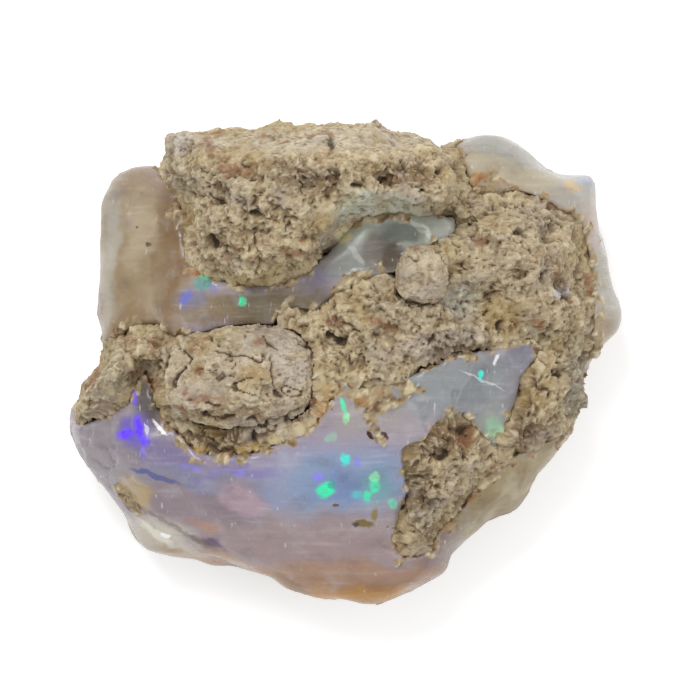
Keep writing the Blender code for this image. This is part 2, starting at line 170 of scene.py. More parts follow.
@dataclass(frozen=True)
class Groove:
    """A crack or a hole in a piece of rock, as a path seen from above."""

    name: str
    path: tuple[tuple[float, float], ...]
    width: float
    depth: float

    def share(self, place: Vector) -> float:
        """How deep in the groove a place is.

        Args:
            place: where, in millimetres.

        Returns:
            1 in the middle of the groove and 0 outside it.
        """
        nearest = self.width
        flat = place.xy
        for start, end in zip(self.path, self.path[1:]):
            a, b = Vector(start), Vector(end)
            span = b - a
            along = max(0.0, min(1.0, (flat - a).dot(span) / span.length_squared))
            nearest = min(nearest, (flat - a - along * span).length)
        return smoothstep(self.width, 0.25 * self.width, nearest)


OPAL_PATCHES = (
    Patch("tan-grey of the right side", (14.2, 6.5), (3.0, 7.5), 6, "#b0a696"),
    Patch("tan of the lower right side", (10.2, -6.8), (5.2, 2.6), 45, "#a2947a"),
    Patch("blue-grey window", (6.07, -1.27), (4.62, 2.2), 0, "#8c8f90"),
    Patch("green tinge of the window", (8.5, -3.99), (0.92, 1.5), 0, "#98a094", 0.8),
    Patch("window's glossy chip", (10.23, 0.64), (1.04, 0.92), 35, "#85848f", 0.9, Edge.SOFT),
    Patch("tongue's upper grey", (1.44, -3.29), (2.43, 1.62), 0, "#a79e9c", 0.9),
    Patch("lavender round the heart", (-1.6, -6.5), (5.6, 2.5), 4, "#a19bb0"),
    Patch("tongue's blue heart", (-0.2, -6.8), (4.3, 1.9), 4, "#8fa0bb"),
    Patch("deeper blue", (0.2, -7.2), (2.2, 1.1), 0, "#7b92bc", 0.8),
    Patch("green haze of the cluster", (1.6, -7.2), (0.9, 1.1), 0, "#78b0a4", 0.5),
    Patch("lilac below the heart", (-1.44, -10.4), (6.94, 1.8), 2, "#a6918f", 0.9),
    Patch("mauve at the right", (5.03, -11.3), (1.73, 1.5), 30, "#8d7873", 0.9),
    Patch("rosy left shoulder", (-8.96, -8.21), (4.05, 1.97), -8, "#96868a", 0.9),
    Patch("rose patch", (-5.9, -7.86), (1.56, 0.87), -22, "#b9a0a8", 0.8, Edge.SOFT),
    Patch("peach patch", (-8.1, -9.5), (1.2, 0.45), -8, "#b9927a", 0.7),
    Patch("plum streak", (-7.7, -10.6), (0.9, 0.26), -30, "#66506a", 0.9),
    # The amber and warm brown along the lower edge are partly the opal's own colour and partly painted light
    # shining through the thin edge
    Patch("warm brown over the amber", (0.2, -12.4), (6.4, 0.9), 2, "#9d7854", 0.8),
    Patch("amber lower edge", (0.6, -13.75), (5.0, 0.95), 2, "#b48444"),
    Patch("amber left edge", (-5.9, -12.2), (3.4, 0.7), -22, "#a37b50", 0.95),
    Patch("warm blush over the edge", (-2.6, -12.08), (6.94, 0.69), 0, "#b4937f", 0.6),
    Patch("grey left flank", (-13.58, -5.32), (3.01, 2.77), -30, "#948b8f"),
    Patch("dark glass of the channel", (-11.27, -2.14), (0.81, 1.73), 25, "#5e5650", 0.9),
    Patch("violet of the lip", (-10.6, -5.3), (2.5, 0.9), -26, "#82779e", 0.85),
    Patch("blue-grey under the violet", (-9.2, -6.6), (2.6, 0.55), -14, "#888aa2", 0.75),
    Patch("violet haze of the lip", (-12.1, -3.9), (1.2, 0.85), 35, "#6d5cc8", 0.75),
    Patch("violet under the rock's edge", (-6.18, -6.3), (2.31, 0.46), 8, "#8a83b4", 0.8),
    Patch("indigo fold", (-10.9, -6.5), (1.5, 0.18), -16, "#565c94", 0.75, Edge.SOFT),
    Patch("tan fold", (-12.2, -7.35), (1.0, 0.75), -45, "#b19a72"),
    Patch("brown hem of the fold", (-12.5, -8.0), (1.15, 0.34), -50, "#5c452a", 0.95, Edge.SOFT),
    Patch("clear lens", (-10.7, -10.2), (2.7, 1.15), -33, "#c4baa9"),
    Patch("olive wedge in the channel", (-11.79, -0.64), (0.52, 0.52), 0, "#8a7c4e", 0.8),
    Patch("beige band", (-7.69, 2.95), (2.43, 1.04), -6, "#8d7c62"),
    Patch("brown-grey band", (-3.47, 3.29), (3.6, 1.3), 4, "#74674f"),
    Patch("violet end of the band", (-1.3, 4.9), (1.0, 0.6), 35, "#827c90", 0.8),
    Patch("blue end of the band", (-9.07, 3.81), (0.81, 0.81), 50, "#6f7398", 0.9),
    Patch("pale wisp", (-9.71, 2.43), (0.81, 0.4), -30, "#b8aeb0", 0.8, Edge.SOFT),
    Patch("green-grey film round the scoop", (2.4, 7.3), (4.4, 2.1), 8, "#a9ae9f"),
    Patch("grey foot of the film", (0.2, 5.7), (1.4, 0.8), 20, "#93958f", 0.9),
    Patch("grey scoop", (2.1, 6.35), (1.25, 1.35), -20, "#7e776e", 1.0, Edge.SOFT),
    Patch("green-grey top of the scoop", (3.1, 7.5), (1.35, 0.5), -8, "#80857b", 0.95, Edge.SOFT),
    Patch("brown depth of the scoop", (2.75, 6.1), (0.6, 0.9), -15, "#685c50", 0.8, Edge.SOFT),
    Patch("left slab", (-11.96, 5.84), (3.24, 6.01), 0, "#a18c6a"),
    Patch("stain on the left slab", (-10.1, 6.2), (0.9, 5.2), -3, "#80633f", 0.9),
    Patch("grey edge of the left slab", (-13.75, 5.84), (0.6, 4.9), 0, "#b4b0a4", 0.9),
    Patch("brown blush of the left slab", (-12.2, 2.4), (1.6, 1.6), 0, "#8f7553", 0.9),
    Patch("cream of the left slab", (-11.9, 7.6), (0.9, 2.4), -8, "#bcad92", 0.8),
    Patch("grey slab", (10.58, 11.44), (5.32, 2.31), -8, "#a19e94"),
    Patch("cool edge of the grey slab", (13.29, 11.27), (1.5, 0.92), -35, "#aab0ba", 0.9),
    Patch("pale strip", (15.14, 4.51), (1.16, 4.51), 12, "#b2aca0"),
    Patch("pink of the pale strip", (14.16, 7.57), (0.69, 1.16), 10, "#bba89c", 0.8),
    Patch("tan foot of the grey slab", (9.2, 10.9), (3.8, 1.1), -12, "#b4a88d", 0.85),
    Patch("tan tip of the pale strip", (14.8, 1.9), (1.3, 1.5), 0, "#a8957a", 0.95),
    Patch("yellow fleck of the slab", (13.12, 10.23), (0.52, 0.4), -30, "#c2a66e", 0.9, Edge.SOFT),
    Patch("yellow fleck by the block", (5.95, 12.02), (0.46, 0.52), 0, "#b49c66", 0.9, Edge.SOFT),
    Patch("olive right flank", (9.65, -7.46), (3.9, 1.6), 45, "#a2936e"),
    Patch("mauve right foot", (6.18, -10.69), (1.39, 1.04), 40, "#8c7a6e", 0.8),
)

OPAL_STAINS = (
    Patch("brown speck", (-0.52, -8.2), (0.16, 0.13), 0, "#7a4f24", 1.0, Edge.SOFT),
    Patch("olive stain", (1.04, -9.22), (0.64, 0.21), -3, "#7f682f", 1.0, Edge.SOFT),
    Patch("stem of the stain", (1.71, -8.7), (0.2, 0.38), -8, "#93804a", 0.9, Edge.SOFT),
    Patch("dark end of the stain", (0.64, -9.31), (0.17, 0.14), 0, "#3f3440", 0.9, Edge.SOFT),
    Patch("rust hole", (1.47, -4.16), (0.17, 0.29), 30, "#3d2012", 1.0, Edge.SOFT),
    Patch("rust hole's twin", (2.25, -4.13), (0.21, 0.36), 48, "#43180f", 1.0, Edge.SOFT),
    Patch("tan bridge between the holes", (1.85, -4.36), (0.21, 0.29), 20, "#9c7b52", 0.8, Edge.SOFT),
    # The two white streaks on the lip are painted highlights
    Patch("painted highlight on the lip", (-10.64, -3.76), (0.62, 0.13), -48, "#f4f2f6", 0.95, Edge.SOFT),
    Patch("fine painted highlight on the lip", (-11.4, -3.9), (0.09, 0.5), 6, "#e0daf0", 0.8, Edge.SOFT),
    Patch("pale streak of the lens", (-10.9, -9.9), (1.5, 0.22), -38, "#e4ddcf", 0.9),
    Patch("glint in the clear lens", (-10.4, -9.95), (0.36, 0.14), -12, "#fdfcfa", 0.95, Edge.SOFT),
    Patch("brown line over the lens", (-10.2, -9.25), (2.0, 0.14), -30, "#6b5344", 0.6),
    Patch("its darker end", (-8.3, -10.35), (1.0, 0.2), -24, "#5a443c", 0.7),
    Patch("tan foot of the lens", (-9.1, -11.2), (1.8, 0.3), -16, "#a98e72", 0.8),
    Patch("pale line along the lip", (-8.9, -5.1), (1.3, 0.07), -38, "#cfc6de", 0.6, Edge.SOFT),
    Patch("brown edge left of the amber", (-3.0, -12.95), (1.3, 0.3), -34, "#83603a", 0.7),
    Patch("yellow lump", (-0.12, 7.34), (0.55, 0.5), 0, "#cbc49b", 0.95, Edge.SOFT),
    Patch("white feather of the scoop", (0.62, 6.25), (0.8, 0.17), -55, "#b6b7b0", 0.8, Edge.SOFT),
    Patch("white seam over the scoop", (3.6, 8.12), (1.4, 0.12), -20, "#c6ccbe", 0.8, Edge.SOFT),
    Patch("white seam at its right", (4.7, 7.3), (0.7, 0.1), -38, "#c0c6b8", 0.7, Edge.SOFT),
    # The two white marks at the window's end and top are painted highlights
    Patch("painted highlight at the window's end", (8.67, 0.17), (0.12, 0.36), -25, "#f2f2f4", 0.9, Edge.SOFT),
    Patch("painted highlight at the window's top", (3.76, -0.17), (0.5, 0.09), 10, "#e8e8e6", 0.8, Edge.SOFT),
    Patch("scratch across the window", (7.9, -1.0), (1.4, 0.07), -24, "#d8d8da", 0.6, Edge.SOFT),
    Patch("dark speck of the left slab", (-11.33, 6.82), (0.13, 0.11), 0, "#4a3826", 0.9, Edge.SOFT),
    Patch("speck above it", (-11.96, 7.86), (0.1, 0.1), 0, "#5a452f", 0.8, Edge.SOFT),
)

OPAL_FLASHES = (
    Flash("long green flash", (-0.14, -2.44), (0.15, 0.46), 12, Fire.GREEN, 1.0),
    Flash("lime flash", (0.08, -3.15), (0.17, 0.35), 0, Fire.PALE_GREEN, 0.8),
    Flash("faint green cloud", (-0.81, -4.28), (0.4, 0.29), 30, Fire.PALE_GREEN, 0.25),
    Flash("cyan flash", (0.0, -5.46), (0.27, 0.37), 0, Fire.CYAN, 0.9),
    Flash("faint violet flash", (0.72, -5.65), (0.25, 0.35), 0, Fire.LILAC, 0.5),
    Flash("violet flash", (-1.55, -6.51), (0.32, 0.29), 0, Fire.LILAC, 0.7),
    Flash("great green flash", (-1.13, -7.28), (0.52, 0.43), 15, Fire.GREEN, 1.0),
    Flash("teal edge of the great flash", (-0.72, -7.02), (0.21, 0.29), 20, Fire.TEAL, 0.6),
    Flash("green flash, upper of the cluster", (1.71, -6.56), (0.31, 0.29), 40, Fire.PALE_GREEN, 0.7),
    Flash("green flash, middle of the cluster", (1.71, -7.05), (0.31, 0.4), 0, Fire.GREEN, 0.7),
    Flash("green flash, lower of the cluster", (1.27, -7.66), (0.27, 0.37), -15, Fire.GREEN, 0.8),
    Flash("blue-green cloud", (0.69, -7.54), (0.38, 0.29), 0, Fire.CYAN, 0.4),
    Flash("green flash by the rock", (2.72, -8.06), (0.25, 0.31), 25, Fire.GREEN, 0.6),
    Flash("deep teal flash of the band", (-8.15, 4.62), (0.55, 0.46), 20, Fire.TEAL, 0.7),
    Flash("green flash of the band", (-7.98, 5.0), (0.35, 0.21), 10, Fire.PALE_GREEN, 0.6),
    Flash("blue flash of the band", (-9.13, 3.76), (0.32, 0.52), -35, Fire.BLUE, 0.6),
    Flash("blue spark of the band", (-7.57, 4.33), (0.25, 0.25), 0, Fire.BLUE, 0.5),
    Flash("green spark of the band", (-5.9, 3.53), (0.23, 0.27), 0, Fire.GREEN, 0.9),
    Flash("cyan spark of the window", (7.8, -0.72), (0.18, 0.31), 0, Fire.CYAN, 0.9),
    Flash("green glow of the window", (8.61, -3.76), (0.52, 0.69), 20, Fire.PALE_GREEN, 0.3),
    Flash("violet fire, left", (-12.66, -4.1), (0.55, 0.29), 12, Fire.VIOLET, 1.0),
    Flash("violet fire, middle", (-11.85, -3.7), (0.23, 0.75), 10, Fire.VIOLET, 1.0),
    Flash("violet fire, right", (-11.47, -4.51), (0.24, 0.4), -10, Fire.VIOLET, 0.9),
    Flash("violet fire, high", (-12.08, -2.08), (0.16, 0.46), 4, Fire.VIOLET, 0.7),
    Flash("violet fire, low", (-11.62, -5.14), (0.18, 0.38), 0, Fire.LILAC, 0.6),
    Flash("violet glint below the rock", (-6.07, -6.36), (0.29, 0.21), 0, Fire.LILAC, 0.5),
    Flash("violet glint of the lip", (-8.84, -6.01), (0.64, 0.17), -12, Fire.LILAC, 0.4),
)

# Crusts of crumbs that cling to the opal away from the rock
OPAL_CRUSTS = (
    Patch("crust between the clast and the window", (1.3, -2.0), (1.9, 0.8), -12, "#b08d60"),
    Patch("pale blob on the window", (3.6, -1.5), (0.9, 0.5), -20, "#cdc3a0", 0.8),
    Patch("stem from the rock above", (1.7, -3.6), (0.3, 1.1), 25, "#9c7b52", 0.8),
    Patch("crumbs down the right flank", (7.9, -6.9), (1.6, 0.5), 42, "#a08c66", 0.75),
    Patch("crumbs beside the toe", (6.2, -9.2), (1.2, 0.4), 50, "#a08c66", 0.6),
    Patch("crumbs on the grey slab", (8.3, 10.3), (1.6, 0.8), -10, "#a08c66", 0.7),
    Patch("crumbs at the block's right", (6.3, 11.8), (0.8, 1.0), 0, "#a08c66", 0.8),
    Patch("rim of the fold", (-12.5, -7.9), (1.1, 0.4), -50, "#8c6c40", 0.85),
)

ROCK_PATCHES = (
    # The top strip is painted paler as light falling on its up-facing face
    Patch("painted light on the top strip", (-2.02, 12.72), (8.67, 0.75), 2, "#b7ac97", 0.9),
    Patch("grey corner", (-9.54, 12.66), (0.87, 0.75), 0, "#b5aea8", 0.8),
    # Painted shadow along the block's steep left side
    Patch("painted shade of the left flank", (-10.0, 11.27), (0.4, 1.5), 4, "#7d6c55", 0.8),
    Patch("grey-brown hollow", (-2.31, 10.58), (2.66, 0.98), -8, "#76634f", 0.8),
    Patch("brown hollow at the right", (3.29, 10.81), (2.2, 0.75), -6, "#80684c", 0.75),
    Patch("cream face", (-7.51, 10.29), (1.97, 1.73), 0, "#b5a688", 0.6),
    Patch("cream lower edge", (-4.8, 5.49), (3.47, 0.9), 6, "#c9b88f", 0.85),
    Patch("yellow lump", (-0.12, 7.34), (0.58, 0.52), 0, "#cdc69c", 0.95, Edge.SOFT),
    # The green film's hue is real, but it is painted paler as painted light to lift the shade under the
    # overhang
    Patch("green film", (1.6, 8.8), (2.9, 0.9), 0, "#d3d8c6", 0.95),
    Patch("green film by the scoop", (5.0, 7.6), (1.1, 0.6), -30, "#aeb6a4", 0.8),
    Patch("rust by the band", (-0.29, 4.39), (0.29, 0.29), 0, "#6f3d22", 0.9, Edge.SOFT),
    Patch("rust above the clast", (-0.52, 2.37), (0.52, 0.46), 0, "#7c4a2c", 0.8, Edge.SOFT),
    Patch("rust at the clast's left", (-10.98, 0.98), (0.46, 0.69), -20, "#80502c", 0.8),
    Patch("rust at the clast's right", (-2.1, -2.3), (0.34, 0.6), -40, "#733a20", 1.0, Edge.SOFT),
    Patch("orange lip", (-1.1, -2.6), (0.58, 1.5), -12, "#bd935c", 0.85),
    Patch("cream lip", (-3.3, -4.3), (2.0, 0.55), 22, "#e0cb94"),
    Patch("amber lip", (-8.8, -4.8), (1.5, 0.4), -28, "#c9a05a"),
    # Painted shade under the clast, and a painted shadow line below its bed
    Patch("painted shade under the clast", (-7.0, -4.3), (2.7, 0.6), 0, "#674c30", 0.9),
    Patch("painted shadow line under the bed", (-7.2, -5.15), (1.0, 0.28), 0, "#38220f", 1.0, Edge.SOFT),
    Patch("yellow crumbs of the bed", (-5.5, -4.95), (1.2, 0.3), 8, "#bf9f5c", 0.85),
    Patch("rust seam under the clast", (-3.7, -3.6), (1.5, 0.22), 22, "#7a4826", 0.8, Edge.SOFT),
    Patch("grey left patch", (-14.16, -0.69), (1.97, 1.97), 30, "#958b76", 0.8),
    Patch("rusty crumbs of the left patch", (-13.99, -2.37), (0.92, 0.35), -10, "#80603a", 0.7),
    Patch("yellow-green crumb", (-11.79, 0.06), (0.52, 0.58), 0, "#9a8650", 0.7),
    Patch("pale mid crust", (3.18, 3.35), (2.66, 2.08), 0, "#aa9b82", 0.7),
    Patch("green-grey saddle", (6.76, 3.64), (1.04, 1.16), 0, "#9ba190", 0.8),
    Patch("ochre crust", (8.96, 2.49), (1.27, 1.16), 0, "#a08656", 0.7),
    Patch("dull right crust", (10.69, 5.84), (3.58, 3.58), 0, "#b2a286", 0.6),
    Patch("lilac spot", (12.48, 4.05), (0.52, 0.35), 10, "#c6c2d4", 0.9, Edge.SOFT),
    Patch("grey-mauve crust", (5.49, 1.04), (2.89, 0.81), 8, "#a0928a", 0.7),
    Patch("grey rim", (13.47, -1.27), (0.81, 2.54), 0, "#86806f", 0.8),
    Patch("brown rim", (10.69, -3.58), (1.27, 1.97), -20, "#7d6546", 0.8),
    Patch("brown heel", (5.95, -4.45), (1.97, 1.04), 20, "#7b6040", 0.9),
    Patch("brown ankle", (4.33, -7.34), (1.04, 2.89), 12, "#735d40", 0.85),
    Patch("cream chunk", (5.66, -7.17), (0.75, 1.1), -30, "#b9a88e", 0.8, Edge.SOFT),
    Patch("cream toe", (3.58, -10.52), (1.04, 0.75), -35, "#bda680", 0.8, Edge.SOFT),
)

ROCK_CALM = (
    Stretch("weathered top strip", (-2.0, 12.7), (9.5, 1.1), 0, 0.45),
    Stretch("film by the scoop", (1.8, 8.4), (3.4, 1.3), 0, 0.4),
    Stretch("worn right crust", (10.8, 5.9), (3.8, 3.8), 0, 0.75),
    Stretch("grey left patch", (-14.2, -0.7), (2.0, 2.0), 0, 0.6),
    Stretch("yellow lump", (-0.1, 7.3), (0.7, 0.6), 0, 0.3),
)

CLAST_PATCHES = (
    Patch("ochre heart", (-5.0, -0.6), (1.1, 0.6), 0, "#a88a5c", 0.6),
    Patch("grey shoulder", (-2.9, 0.2), (1.3, 1.5), 10, "#b8ada0", 0.7),
    Patch("drab top", (-7.5, 1.2), (2.4, 0.6), 0, "#9b8d70", 0.6),
    Patch("brown hem", (-6.5, -2.9), (3.0, 0.5), 0, "#83694a", 0.7),
)

CLAST_GROOVES = (
    Groove("crack over the left chip", ((-9.3, 0.75), (-8.8, 0.25), (-8.95, 0.0)), 0.11, 0.22),
    Groove("crack under the left chip", ((-9.2, -0.35), (-9.85, -0.95), (-9.75, -1.4)), 0.13, 0.26),
    Groove("notch at its top", ((-9.8, 0.95), (-9.5, 0.9)), 0.195, 0.262),
    Groove("short upper crack", ((-7.8, 1.5), (-7.55, 1.2)), 0.105, 0.225),
    Groove(
        "long middle crack", ((-7.35, 0.7), (-6.6, 0.4), (-6.0, 0.48), (-5.4, 0.4), (-4.65, 0.0)), 0.08, 0.17
    ),
    Groove("dark middle of it", ((-5.1, 0.2), (-4.75, 0.05)), 0.128, 0.262),
    Groove("upper right crack", ((-4.65, 1.5), (-3.95, 0.8)), 0.068, 0.15),
    Groove(
        "edge of the grey shoulder", ((-4.25, 0.5), (-4.2, -0.4), (-4.05, -1.3), (-3.7, -1.95)), 0.06, 0.12
    ),
    Groove("hollow under the shoulder", ((-4.0, -1.65), (-3.7, -1.95)), 0.165, 0.262),
    Groove("grey pit of the shoulder", ((-3.25, -1.6), (-3.1, -1.65)), 0.165, 0.112),
    Groove("lower left crack", ((-8.1, -2.85), (-7.2, -3.15), (-6.3, -3.1)), 0.12, 0.225),
    Groove("hollow at the lower left", ((-7.9, -2.3), (-7.2, -2.45)), 0.15, 0.15),
    Groove("grey hollow", ((-5.5, -3.15), (-5.0, -3.2)), 0.18, 0.15),
    Groove("lower right crack", ((-4.6, -3.3), (-3.4, -3.1), (-2.7, -2.7)), 0.105, 0.225),
    Groove("green-grey dent", ((-6.6, -0.75), (-6.3, -0.8)), 0.12, 0.09),
    Groove("ochre pit", ((-4.8, -0.95), (-4.7, -1.0)), 0.105, 0.15),
)

ROCK_GROOVES = (
    Groove("hole above the film", ((0.65, 10.1), (1.1, 10.0)), 0.32, 0.6),
    Groove("hole in the left face", ((-8.7, 9.75), (-8.3, 9.55)), 0.28, 0.5),
    Groove("slit in the left face", ((-7.6, 9.5), (-6.8, 9.25)), 0.2, 0.5),
    Groove("low slit in the left face", ((-7.7, 7.0), (-7.5, 6.6)), 0.2, 0.4),
    Groove("dent in the top strip", ((-0.9, 12.8), (-0.7, 12.4)), 0.25, 0.25),
    Groove("hole right of the hollow", ((3.2, 11.6), (3.35, 11.4)), 0.3, 0.4),
    Groove("slot by the band", ((-3.4, 5.6), (-2.6, 5.6)), 0.12, 0.3),
    Groove("hole by the band", ((0.25, 4.9), (0.5, 4.85)), 0.22, 0.4),
    Groove("rust hole by the band", ((-0.5, 4.25), (-0.15, 4.5)), 0.28, 0.3),
    Groove("crack under the small clast", ((2.5, 4.35), (2.9, 3.9), (3.1, 3.3)), 0.1, 0.3),
    Groove("dark crack beside it", ((3.1, 4.2), (3.4, 3.8), (3.8, 3.4)), 0.13, 0.35),
    Groove("hole right of the clast", ((-0.9, 1.6), (-0.3, 1.25)), 0.32, 0.4),
    Groove("slot under the bed", ((-8.0, -4.95), (-7.3, -5.1), (-6.5, -5.05)), 0.24, 0.3),
    Groove("hole in the bed", ((-5.3, -4.1), (-5.15, -4.5)), 0.28, 0.5),
    Groove("left crack of the bed", ((-9.05, -3.85), (-8.8, -4.1)), 0.14, 0.3),
    Groove("low crack of the bed", ((-7.95, -4.4), (-7.5, -4.75)), 0.14, 0.3),
    Groove("crack over the window", ((6.3, 0.4), (6.8, 0.0)), 0.14, 0.3),
    Groove("hole in the heel", ((5.5, -5.4), (5.9, -5.0)), 0.3, 0.4),
    Groove("slit in the ankle", ((6.3, -8.6), (6.9, -7.9)), 0.2, 0.35),
    Groove("holes of the right rim", ((12.1, -0.45), (12.3, -0.6)), 0.24, 0.35),
    Groove("dark foot of the right rim", ((11.75, -4.4), (11.9, -4.7)), 0.22, 0.35),
    Groove("upper hole of the right crust", ((9.9, 7.6), (10.3, 7.4)), 0.3, 0.4),
    Groove("lower hole of the right crust", ((12.6, 4.0), (12.9, 3.8)), 0.25, 0.35),
)


def linear(colour: str) -> tuple[float, float, float, float]:
    """Turns an sRGB hex colour into linear red, green, blue and alpha.

    Args:
        colour: such as "#94836a".

    Returns:
        The four channels, from 0 to 1.
    """
    channels = [int(colour[i : i + 2], 16) / 255 for i in (1, 3, 5)]
    channels = [c / 12.92 if c <= 0.04045 else ((c + 0.055) / 1.055) ** 2.4 for c in channels]
    return (*channels, 1.0)


def share_at(place: Vector, stretches: tuple[Stretch, ...], elsewhere: float) -> float:
    """The share that a place has of something.

    Args:
        place: where, in millimetres.
        stretches: the stretches that have their own share. A later one lies over the earlier.
        elsewhere: the share outside them all.

    Returns:
        The share, from 0 to 1.
    """
    share = elsewhere
    for stretch in stretches:
        share += (stretch.share - share) * stretch.inside(place)
    return share


def nudged(place: Vector, *pushes: tuple[float, float]) -> Vector:
    """Pushes a place about by noise, so that what is drawn from it turns ragged.

    Args:
        place: where, in millimetres.
        pushes: how far each push goes and how far apart its swings are, in millimetres.

    Returns:
        The pushed place.
    """
    moved = place
    for reach, size in pushes:
        moved = moved + reach * noise.noise_vector(place / size)
    return moved


def new_object(name: str, data: bpy.types.ID) -> bpy.types.Object:
    """Puts a mesh, a light or a camera in the scene as an object at the origin.

    Args:
        name: the object's name.
        data: the mesh, light or camera.

    Returns:
        The new object.
    """
    obj = bpy.data.objects.new(name, data)
    bpy.context.scene.collection.objects.link(obj)
    return obj


def rows_of(items: bpy.types.bpy_prop_collection, key: str) -> np.ndarray:
    """Reads one vector of each item, such as a vertex's place or normal.

    Args:
        items: the vertices, or their normals.
        key: the vector's name.

    Returns:
        The vectors, one row each.
    """
    flat = np.empty(len(items) * 3, np.float32)
    items.foreach_get(key, flat)
    return flat.reshape(-1, 3).astype(np.float64)


def neighbour_mean(mesh: bpy.types.Mesh, values: np.ndarray, rounds: int) -> np.ndarray:
    """Averages each vertex's values with its neighbours'.

    Args:
        mesh: whose edges say which vertices are neighbours.
        values: one row per vertex.
        rounds: how many times to average.

    Returns:
        The averaged values, in the same order.
    """
    ends = np.empty(len(mesh.edges) * 2, np.int32)
    mesh.edges.foreach_get("vertices", ends)
    a, b = ends.reshape(-1, 2).T
    count = len(mesh.vertices)
    around = np.maximum(np.bincount(a, minlength=count) + np.bincount(b, minlength=count), 1)
    for _ in range(rounds):
        sums = [
            np.bincount(a, weights=column[b], minlength=count)
            + np.bincount(b, weights=column[a], minlength=count)
            for column in values.T
        ]
        values = 0.5 * values + 0.5 * (np.stack(sums) / around).T
    return values


def write_attribute(mesh: bpy.types.Mesh, name: str, values: np.ndarray | list[float]) -> None:
    """Stores one number per vertex for a material to read.

    Args:
        mesh: the piece's mesh.
        name: the attribute's name.
        values: one number per vertex.
    """
    attribute = mesh.attributes.new(name, "FLOAT", "POINT")
    attribute.data.foreach_set("value", np.asarray(values, np.float32))


def tree_of(*meshes: bpy.types.Mesh) -> BVHTree:
    """Makes a search tree of some meshes' faces.

    Args:
        meshes: the meshes.

    Returns:
        The tree, in metres.
    """
    places, faces = [], []
    for mesh in meshes:
        faces += [[len(places) + v for v in face.vertices] for face in mesh.polygons]
        places += [vert.co.copy() for vert in mesh.vertices]
    return BVHTree.FromPolygons(places, faces)


def keep_largest_island(mesh: bpy.types.Mesh) -> None:
    """Deletes the specks that remeshing leaves beside a piece's one large skin.

    Args:
        mesh: the piece's mesh.
    """
    bm = bmesh.new()
    bm.from_mesh(mesh)
    unseen = set(bm.verts)
    largest: set[bmesh.types.BMVert] = set()
    while unseen:
        start = unseen.pop()
        island, ends = {start}, [start]
        while ends:
            vert = ends.pop()
            fresh = {edge.other_vert(vert) for edge in vert.link_edges} & unseen
            unseen -= fresh
            island |= fresh
            ends += fresh
        largest = max(largest, island, key=len)
    bmesh.ops.delete(bm, geom=[v for v in bm.verts if v not in largest], context="VERTS")
    bm.to_mesh(mesh)
    bm.free()


def fine_copy(name: str, node: bpy.types.Object, voxel: float, easing: int) -> bpy.types.Object:
    """Copies a solid finely enough to carry small relief, with its facets eased away.

    Args:
        name: the new piece's name.
        node: the CAD node to copy.
        voxel: the length of the new mesh's faces, in millimetres.
        easing: rounds of smoothing.

    Returns:
        The new piece, at the origin, with its place in its mesh.
    """
    bm = bmesh.new()
    bm.from_mesh(node.data)
    bmesh.ops.remove_doubles(bm, verts=bm.verts, dist=MERGE_DISTANCE * MM)
    mesh = bpy.data.meshes.new(name)
    bm.to_mesh(mesh)
    bm.free()
    obj = new_object(name, mesh)
    remesh = obj.modifiers.new("fine skin", "REMESH")
    remesh.mode = "VOXEL"
    remesh.voxel_size = voxel * MM
    ease = obj.modifiers.new("ease facets", "SMOOTH")
    ease.factor = 0.5
    ease.iterations = easing
    bpy.context.view_layer.update()
    graph = bpy.context.evaluated_depsgraph_get()
    fine = bpy.data.meshes.new_from_object(obj.evaluated_get(graph))
    keep_largest_island(fine)
    obj.modifiers.clear()
    obj.data = fine
    bpy.data.meshes.remove(mesh)
    fine.name = name
    return obj


